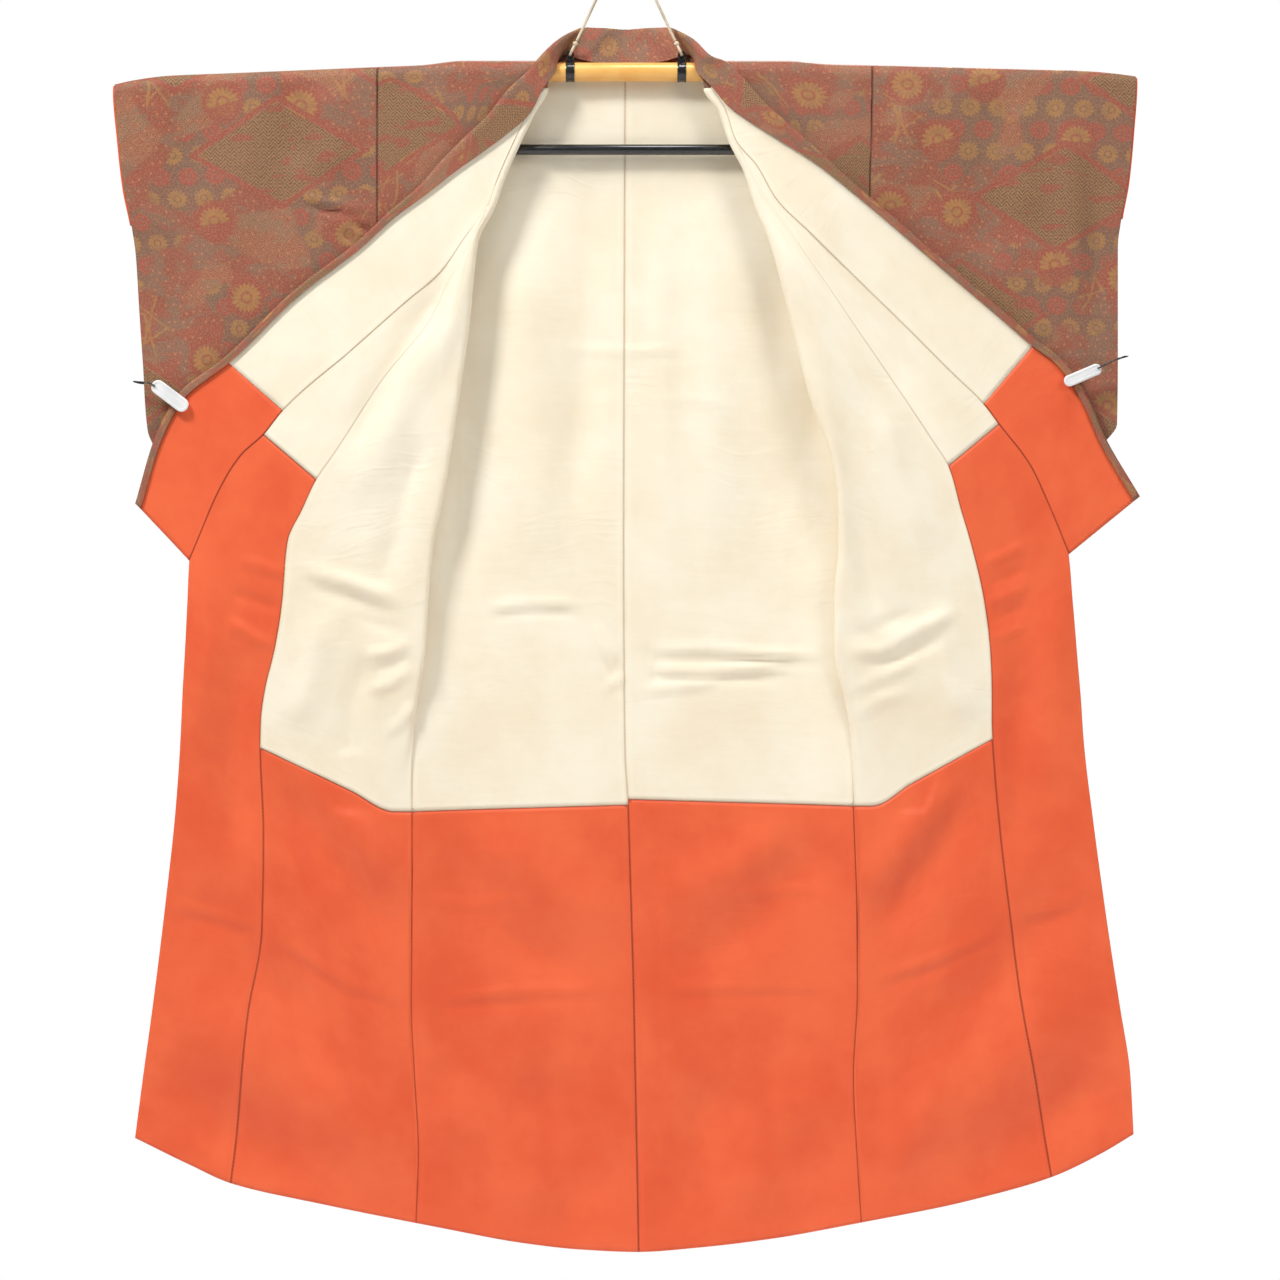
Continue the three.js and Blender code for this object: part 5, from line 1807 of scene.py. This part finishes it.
@dataclass
class Workshop:
    """Makes the hanger's and the clips' pieces."""

    finishes: dict[str, bpy.types.Material]

    def finish(self, bm: bmesh.types.BMesh, name: str, slot: str, node: str,
               place: Matrix | None = None) -> bpy.types.Object:
        """Turn a mesh into an object of the garment.

        Args:
            bm: the shape, in millimetres.
            name: the object's name.
            slot: its finish.
            node: the node that it stands for.
            place: where it goes, in the sections' millimetres.

        Returns:
            The object.
        """
        if place is not None:
            bmesh.ops.transform(bm, matrix=place, verts=bm.verts)
        bmesh.ops.translate(bm, vec=(0, 0, -DROP), verts=bm.verts)
        bmesh.ops.scale(bm, vec=(MM, MM, MM), verts=bm.verts)
        bmesh.ops.recalc_face_normals(bm, faces=bm.faces)
        for face in bm.faces:
            face.smooth = True
        for edge in bm.edges:
            if len(edge.link_faces) == 2 and edge.calc_face_angle(0) > SHARP:
                edge.smooth = False
        mesh = bpy.data.meshes.new(name)
        bm.to_mesh(mesh)
        bm.free()
        mesh.materials.append(self.finishes[slot])
        made = placed(name, mesh)
        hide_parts(node)
        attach(made, ROOT)
        LOG.info("piece %s of %d faces", made.name, len(mesh.polygons))
        return made

    @staticmethod
    def lathe(profile: Sequence[tuple[float, float]], segments: int = 48) -> bmesh.types.BMesh:
        """Turned shape along X.

        Args:
            profile: places along the axis with their radius.
            segments: number of sides.

        Returns:
            The closed shape.
        """
        bm = bmesh.new()
        bmesh.ops.create_grid(bm, x_segments=segments, y_segments=len(profile) - 1, size=1)
        bm.verts.ensure_lookup_table()
        for vert in bm.verts:
            row, column = divmod(vert.index, segments + 1)
            along, radius = profile[row]
            turn = 2 * math.pi * (column % segments) / segments
            vert.co = (along, radius * math.cos(turn), radius * math.sin(turn))
        bmesh.ops.remove_doubles(bm, verts=bm.verts, dist=MERGE)
        bmesh.ops.dissolve_degenerate(bm, edges=bm.edges, dist=MERGE / 100)
        return bm

    @staticmethod
    def sweep(path: np.ndarray, radius: float, segments: int, closed: bool = False) -> bmesh.types.BMesh:
        """Round shape along a path.

        Args:
            path: points of the middle line.
            radius: the section's radius.
            segments: number of sides.
            closed: whether the path ends where it starts.

        Returns:
            The shape, closed by flat ends if the path is open.
        """
        bm = bmesh.new()
        bmesh.ops.create_grid(bm, x_segments=segments, y_segments=len(path) - 1, size=1)
        bm.verts.ensure_lookup_table()
        tangent = np.gradient(path, axis=0)
        if closed:
            tangent[0] = tangent[-1] = path[1] - path[-2]
        before = Vector(tangent[0]).normalized()
        side = before.cross(Vector((0.13, 1, 0.07))).normalized()
        frames = []
        for step in tangent:  # turned along the path, so that no bend can turn the section over
            ahead = Vector(step).normalized()
            side = before.rotation_difference(ahead) @ side
            frames.append((side, side.cross(ahead)))
            before = ahead
        for vert in bm.verts:
            row, column = divmod(vert.index, segments + 1)
            side, up = frames[row]
            turn = 2 * math.pi * (column % segments) / segments
            vert.co = Vector(path[row]) + (side * math.cos(turn) + up * math.sin(turn)) * radius
        bmesh.ops.remove_doubles(bm, verts=bm.verts, dist=MERGE)
        if not closed:
            bmesh.ops.holes_fill(bm, edges=[edge for edge in bm.edges if edge.is_boundary], sides=segments)
        return bm

    @staticmethod
    def ring_path(radius: float, count: int = 72) -> np.ndarray:
        """Circle about the X axis."""
        turns = np.linspace(0, 2 * math.pi, count + 1)
        return np.stack([np.zeros_like(turns), radius * np.sin(turns), radius * np.cos(turns)], axis=1)

    @staticmethod
    def join(bm: bmesh.types.BMesh, other: bmesh.types.BMesh, place: Matrix | None = None) -> None:
        """Add one shape to another.

        Args:
            bm: the shape that grows.
            other: the shape that is added, and freed.
            place: where it goes.
        """
        if place is not None:
            bmesh.ops.transform(other, matrix=place, verts=other.verts)
        spare = bpy.data.meshes.new("spare")
        other.to_mesh(spare)
        other.free()
        bm.from_mesh(spare)
        bpy.data.meshes.remove(spare)


@dataclass
class Hanger:
    """The telescopic hanger with its bar, brackets, cord and hook ring, in millimetres."""

    shop: Workshop
    route: tuple[tuple[float, float], ...] = (
        (-61.6, -124), (-54.4, -109), (-45, -88.8), (-33.9, -65.2), (-22.9, -41.5), (-13, -20.2),
        (-6.3, -5.8), (-3.8, -2.8), (0, -1.6), (3.8, -2.8), (6.3, -5.8), (13, -20.2), (22.9, -41.5),
        (33.9, -65.2), (45, -88.8), (54.4, -109), (61.6, -124))
    cord_r: float = 1.7
    loop_r: float = 6.0
    knot_r: float = 3.5
    bore: float = 10.6
    loop_wire: float = 1.6
    ring_r: float = 12.0
    ring_wire: float = 2.95
    ring_drop: float = 9.0
    loop_lean: float = 25.0
    eye_x: float = 70.0
    eye_z: float = -142.0
    bar_z: float = -260.8
    bar_r: float = 6.75
    bar_half: float = 158.0
    post_r: float = 3.0
    post_x: float = 150.0

    def cord(self) -> bpy.types.Object:
        """The cord between its two knots, over the ring.

        Returns:
            The cord.
        """
        route = np.array([(x, 0, z) for x, z in self.route], float)
        points = evenly(route, 90)
        curve = bpy.data.curves.new("hanging_cord_line", "CURVE")
        curve.dimensions = "3D"
        spline = curve.splines.new("POLY")
        spline.points.add(len(points) - 1)
        for target, point in zip(spline.points, points):
            target.co = (point[0] * MM, point[1] * MM, (point[2] - DROP) * MM, 1)
        curve.bevel_depth = self.cord_r * MM
        curve.bevel_resolution = 5
        curve.use_fill_caps = True
        curve.materials.append(self.shop.finishes["cord"])
        cord = placed("hanging_cord_line", curve)
        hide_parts("hanging_cord")
        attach(cord, ROOT)
        LOG.info("piece %s of %d points", cord.name, len(points))
        return cord

    def loops(self) -> list[bpy.types.Object]:
        """Loops of the cord through the eyelets, with their knots.

        Returns:
            Both loops, each with its knot.
        """
        made = []
        for side in Side:
            bm = self.shop.sweep(self.shop.ring_path(self.loop_r, 40), self.loop_wire, 12, True)
            bmesh.ops.translate(bm, vec=(0, 0, self.loop_r), verts=bm.verts)
            knot = bmesh.new()
            bmesh.ops.create_uvsphere(knot, u_segments=28, v_segments=18, radius=self.knot_r)
            for vert in knot.verts:
                twist = math.atan2(vert.co.y, vert.co.x) * 2 + vert.co.z * 1.5
                vert.co *= 0.97 + 0.06 * math.sin(twist)
            self.shop.join(bm, knot, Matrix.Translation((0, 0, 15.5)))
            place = Matrix.Translation((side.value * self.eye_x, 0, self.eye_z)) @ Matrix.Rotation(
                math.radians(-self.loop_lean * side.value), 4, "Y")
            label = side.label
            made.append(self.shop.finish(bm, f"cord_knot_{label}", "cord", f"cord_loop_{label}", place))
        return made

    def pole(self) -> None:
        """The tube, its two rods and the ring."""
        half, out, bore = TUBE_HALF, TUBE_R, self.bore
        profile = [(-half, bore), (-half, out - 0.4), (-half + 0.4, out), (-half + 6, out),
                   (-half + 6.5, out - 0.3), (-half + 8, out - 0.3), (-half + 8.5, out)]
        profile += [(-along, radius) for along, radius in reversed(profile)]
        profile += [(half, bore), (half - 2, bore), (-half + 2, bore), (-half, bore)]
        self.shop.finish(self.shop.lathe(profile, 64), "pole_tube", "gold_metal", "hanger_tube",
                         Matrix.Translation((0, 0, TUBE_Z)))
        for side in Side:
            start = TUBE_HALF - ROD_IN
            length = ROD_REACH - start
            rod = self.shop.lathe([(0, 0), (0, 8.7), (0.8, ROD_R), (length - 22, ROD_R),
                                   (length - 21.5, ROD_R - 0.4), (length - 20, ROD_R - 0.4),
                                   (length - 19.5, ROD_R), (length - 3, ROD_R), (length - 0.9, ROD_R - 1.1),
                                   (length, ROD_R - 3.5), (length, 0)])
            tilt = math.atan(ROD_SAG[side])
            place = Matrix.Translation((side.value * start, 0, rod_height(side, start))) @ Matrix.Rotation(
                tilt * side.value, 4, "Y")
            if side is Side.LEFT:
                place = place @ Matrix.Rotation(math.pi, 4, "Z")
            label = side.label
            self.shop.finish(rod, f"pole_rod_{label}", "gold_metal", f"hanger_rod_{label}", place)
        ring = self.shop.sweep(self.shop.ring_path(self.ring_r), self.ring_wire, 18, True)
        self.shop.finish(ring, "hook_ring", "gold_metal", "hanging_ring",
                         Matrix.Translation((0, 0, DROP - self.ring_drop)))

    def bar(self) -> None:
        """The lower bar for the sash with its posts."""
        half, radius = self.bar_half, self.bar_r
        ends = [(-half, 0), (-half, radius - 2.6), (-half + 0.8, radius - 0.9), (-half + 2.6, radius)]
        profile = ends + [(-along, r) for along, r in reversed(ends)]
        self.shop.finish(self.shop.lathe(profile), "lower_bar", "black_metal", "sash_bar",
                         Matrix.Translation((0, 0, self.bar_z)))
        top, bottom = TUBE_Z - TUBE_R - SEAM_GAP, self.bar_z + self.bar_r + SEAM_GAP
        for side in Side:
            length = top - bottom
            foot = [(0, 0), (0, 3.4), (3, 3.5), (3.4, self.post_r)]
            post = self.shop.lathe(foot + [(length - along, r) for along, r in reversed(foot)], 28)
            place = Matrix.Translation((side.value * self.post_x, 0, top)) @ Matrix.Rotation(
                math.pi / 2, 4, "Y")
            self.shop.finish(post, f"post_{side.label}", "black_metal", f"bar_post_{side.label}", place)

    def brackets(self) -> None:
        """Rings round the tube with a tapered tab and an eyelet."""
        inner, outer = TUBE_R + SEAM_GAP, TUBE_R + 1.15
        half = [(-5.5, inner), (-5.5, outer - 0.2), (-5.2, outer), (-3.4, outer), (-3.1, outer - 0.5)]
        profile = half + [(-along, radius) for along, radius in reversed(half)] + half[:1]
        for side in Side:
            bm = self.shop.lathe(profile, 64)
            tab = bmesh.new()
            bmesh.ops.create_cube(tab, size=1)
            bmesh.ops.scale(tab, vec=(10.6, 3.8, 6.6), verts=tab.verts)
            bmesh.ops.translate(tab, vec=(0, 0, 15.7), verts=tab.verts)
            for vert in tab.verts:
                if vert.co.z > 15.7:
                    vert.co.x *= 0.8
            bmesh.ops.bevel(tab, geom=tab.edges[:], offset=0.5, segments=2, profile=0.5, material=-1,
                            affect="EDGES")
            self.shop.join(bm, tab)
            eye = self.shop.lathe([(-1.9, 2.5), (-1.9, 4.7), (-1.4, 5), (1.4, 5), (1.9, 4.7), (1.9, 2.5),
                                   (1.5, 2.3), (-1.5, 2.3), (-1.9, 2.5)], 36)
            place = Matrix.Translation((0, 0, self.eye_z - TUBE_Z)) @ Matrix.Rotation(math.pi / 2, 4, "Z")
            self.shop.join(bm, eye, place)
            label = side.label
            self.shop.finish(bm, f"eyelet_bracket_{label}", "black_metal", f"cord_bracket_{label}",
                             Matrix.Translation((side.value * self.eye_x, 0, TUBE_Z)))


class ClipSet(NamedTuple):
    """Place and size of a clip."""

    side: Side
    x: float
    z: float
    length: float
    width: float
    tilt: float
    wire: tuple[float, float, float, float]


CLIPS = (
    ClipSet(Side.LEFT, -570, -571, 54, 18, -37, (-588, -559, -614, -553)),
    ClipSet(Side.RIGHT, 571, -545, 50, 14.5, 23, (589, -537, 626, -521)))


@dataclass
class Clips:
    """Plastic clips that hold the fronts to the sleeves, in millimetres."""

    shop: Workshop
    front_y: float = -22.3
    back_y: float = 11.0
    thickness: float = 6.0
    wire_r: float = 0.95
    wire_gap: float = 1.2
    wire_bow: float = -6.0
    rim: float = 1.5
    hollow: float = 0.45

    def jaw(self, clip: ClipSet, facing: int) -> bmesh.types.BMesh:
        """One jaw: a long rounded plate with a shallow hollow in its outer face.

        Args:
            clip: the clip's measures.
            facing: 1 for the back jaw, -1 for the front one.

        Returns:
            The jaw about its own middle.
        """
        bm = bmesh.new()
        bmesh.ops.create_circle(bm, cap_ends=True, segments=48, radius=clip.width / 2)
        run = clip.length / 2 - clip.width / 2
        for vert in bm.verts:
            vert.co.x += math.copysign(run, vert.co.x)
        made = bmesh.ops.extrude_face_region(bm, geom=bm.faces[:])
        top = [item for item in made["geom"] if isinstance(item, bmesh.types.BMVert)]
        bmesh.ops.translate(bm, vec=(0, 0, self.thickness), verts=top)
        bmesh.ops.recalc_face_normals(bm, faces=bm.faces)
        rims = [edge for edge in bm.edges if edge.calc_face_angle(0) > 1.2]
        bmesh.ops.bevel(bm, geom=rims, offset=self.rim, segments=4, profile=0.5, material=-1,
                        affect="EDGES")
        face = max(bm.faces, key=lambda item: item.calc_center_median().z * item.calc_area())
        bmesh.ops.inset_region(bm, faces=[face], thickness=1.6, depth=0)
        bmesh.ops.inset_region(bm, faces=[face], thickness=0.5, depth=-self.hollow)
        turn = Matrix.Rotation(math.radians(90 * -facing), 4, "X")
        bmesh.ops.translate(bm, vec=(0, 0, -self.thickness / 2), verts=bm.verts)
        bmesh.ops.transform(bm, matrix=turn, verts=bm.verts)
        return bm

    def build(self) -> None:
        """Make both clips with their wires."""
        for clip in CLIPS:
            label = clip.side.label
            for face, y, facing in (("front", self.front_y, -1), ("back", self.back_y, 1)):
                place = Matrix.Translation((clip.x, y, clip.z)) @ Matrix.Rotation(
                    -math.radians(clip.tilt), 4, "Y")
                self.shop.finish(self.jaw(clip, facing), f"jaw_{face}_{label}", "white_plastic",
                                 f"clip_{face}_jaw_{label}", place)
            near_x, near_z, far_x, far_z = clip.wire
            out = clip.side.value
            rise = self.thickness / 2 + self.wire_gap
            front, back = self.front_y - rise, self.back_y + rise
            route = np.array([
                (near_x, front, near_z), (near_x + 8 * out, front - 0.2, near_z + 4),
                (far_x - 2 * out, self.front_y + 4, far_z), (far_x + 3 * out, self.wire_bow, far_z + 1),
                (far_x - 2 * out, self.back_y + 1, far_z), (near_x + 8 * out, back + 0.2, near_z + 4),
                (near_x, back, near_z)], float)
            wire = self.shop.sweep(evenly(route, 60), self.wire_r, 10)
            self.shop.finish(wire, f"wire_{label}", "black_metal", f"clip_wire_{label}")


# ---- studio ----
class Lamp(NamedTuple):
    """A soft light: its place and size in metres, and its power in watts."""

    name: str
    where: tuple[float, float, float]
    size: float
    power: float


LAMPS = (Lamp("key", (-2.4, -2.3, 2.7), 0.9, 172), Lamp("fill", (2.9, -3.0, 1.6), 1.6, 52),
         Lamp("top", (0.3, -1.0, 2.3), 0.8, 28), Lamp("rear", (1.0, 4.0, 1.6), 2.4, 210))


@dataclass
class Studio:
    """Pale floor, soft light and the camera, in metres."""

    view_width: float = 1.606
    away: float = 6.0
    middle_x: float = 0.0176
    middle_z: float = -0.890
    floor_z: float = -1.76
    floor_half: float = 2.2
    floor_y: float = -1.8
    aim_z: float = -0.85
    sensor: float = 36.0
    sky_light: float = 0.2

    def camera(self) -> None:
        """Camera straight in front of the garment's middle."""
        data = bpy.data.cameras.new("camera")
        data.sensor_width = self.sensor
        data.lens = self.sensor * self.away / self.view_width
        camera = placed("camera", data)
        camera.location = (self.middle_x, -self.away, self.middle_z)
        camera.rotation_euler = (math.radians(90), 0, 0)
        bpy.context.scene.camera = camera

    def light(self, lamp: Lamp) -> None:
        """A square soft light that looks at the garment's middle.

        Args:
            lamp: its place, size and power.
        """
        data = bpy.data.lights.new(lamp.name, "AREA")
        data.size = lamp.size
        data.energy = lamp.power
        made = placed(lamp.name, data)
        made.location = lamp.where
        aim = Vector((0, 0, self.aim_z)) - Vector(lamp.where)
        made.rotation_euler = aim.to_track_quat("-Z", "Y").to_euler()

    def floor(self) -> None:
        """A wide pale floor."""
        bm = bmesh.new()
        bmesh.ops.create_grid(bm, x_segments=1, y_segments=1, size=self.floor_half)
        bmesh.ops.translate(bm, vec=(0, self.floor_y, self.floor_z), verts=bm.verts)
        mesh = bpy.data.meshes.new("floor")
        bm.to_mesh(mesh)
        bm.free()
        material = bpy.data.materials.new("floor")
        material.use_nodes = True
        shader = material.node_tree.nodes["Principled BSDF"]
        shader.inputs["Base Color"].default_value = tone(245, 245, 244)
        shader.inputs["Roughness"].default_value = 0.9
        mesh.materials.append(material)
        placed("floor", mesh)

    def build(self) -> None:
        """Floor, sky and lights."""
        self.floor()
        world = bpy.data.worlds.new("studio")
        world.use_nodes = True
        background = world.node_tree.nodes["Background"]
        graph = world.node_tree
        seen = graph.nodes.new("ShaderNodeLightPath")
        strength = graph.nodes.new("ShaderNodeMapRange")
        graph.links.new(seen.outputs["Is Camera Ray"], strength.inputs["Value"])
        strength.inputs["To Min"].default_value = self.sky_light
        strength.inputs["To Max"].default_value = 1.0
        graph.links.new(strength.outputs[0], background.inputs[1])
        background.inputs[0].default_value = (1.0, 1.0, 1.0, 1.0)
        bpy.context.scene.world = world
        bpy.context.scene.view_settings.view_transform = "Standard"
        for lamp in LAMPS:
            self.light(lamp)
        LOG.info("studio with %d lights", len(LAMPS))


def main() -> None:
    """Build the scene."""
    logging.basicConfig(level=logging.INFO, format="%(name)s %(message)s")
    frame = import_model()
    LOG.info("frame of %d nodes", len(frame["nodes"]))
    studio = Studio()
    studio.camera()
    maker = FinishMaker()
    finishes = {finish.name: maker.hard(finish) for finish in (GOLD, BLACK, CREAM, CLIP_WHITE)}
    shop = Workshop(finishes)
    hanger = Hanger(shop)
    cord = hanger.cord()
    loops = hanger.loops()
    2 * hanger.cord_r * MM
    studio.build()
    hanger.pole()
    hanger.bar()
    hanger.brackets()
    Clips(shop).build()
    garment = Garment(maker.patterned(), maker.silk(WHITE_SILK), maker.silk(ORANGE_SILK))
    for side in Side:
        garment.add_side(side)
    garment.add_collar()
    garment.build()


def plain(bounds: Sequence[Iterable[float]]) -> list[list[float]]:
    """Bounds as plain lists."""
    return [[float(value) for value in corner] for corner in bounds]


if __name__ == "__main__":
    main()
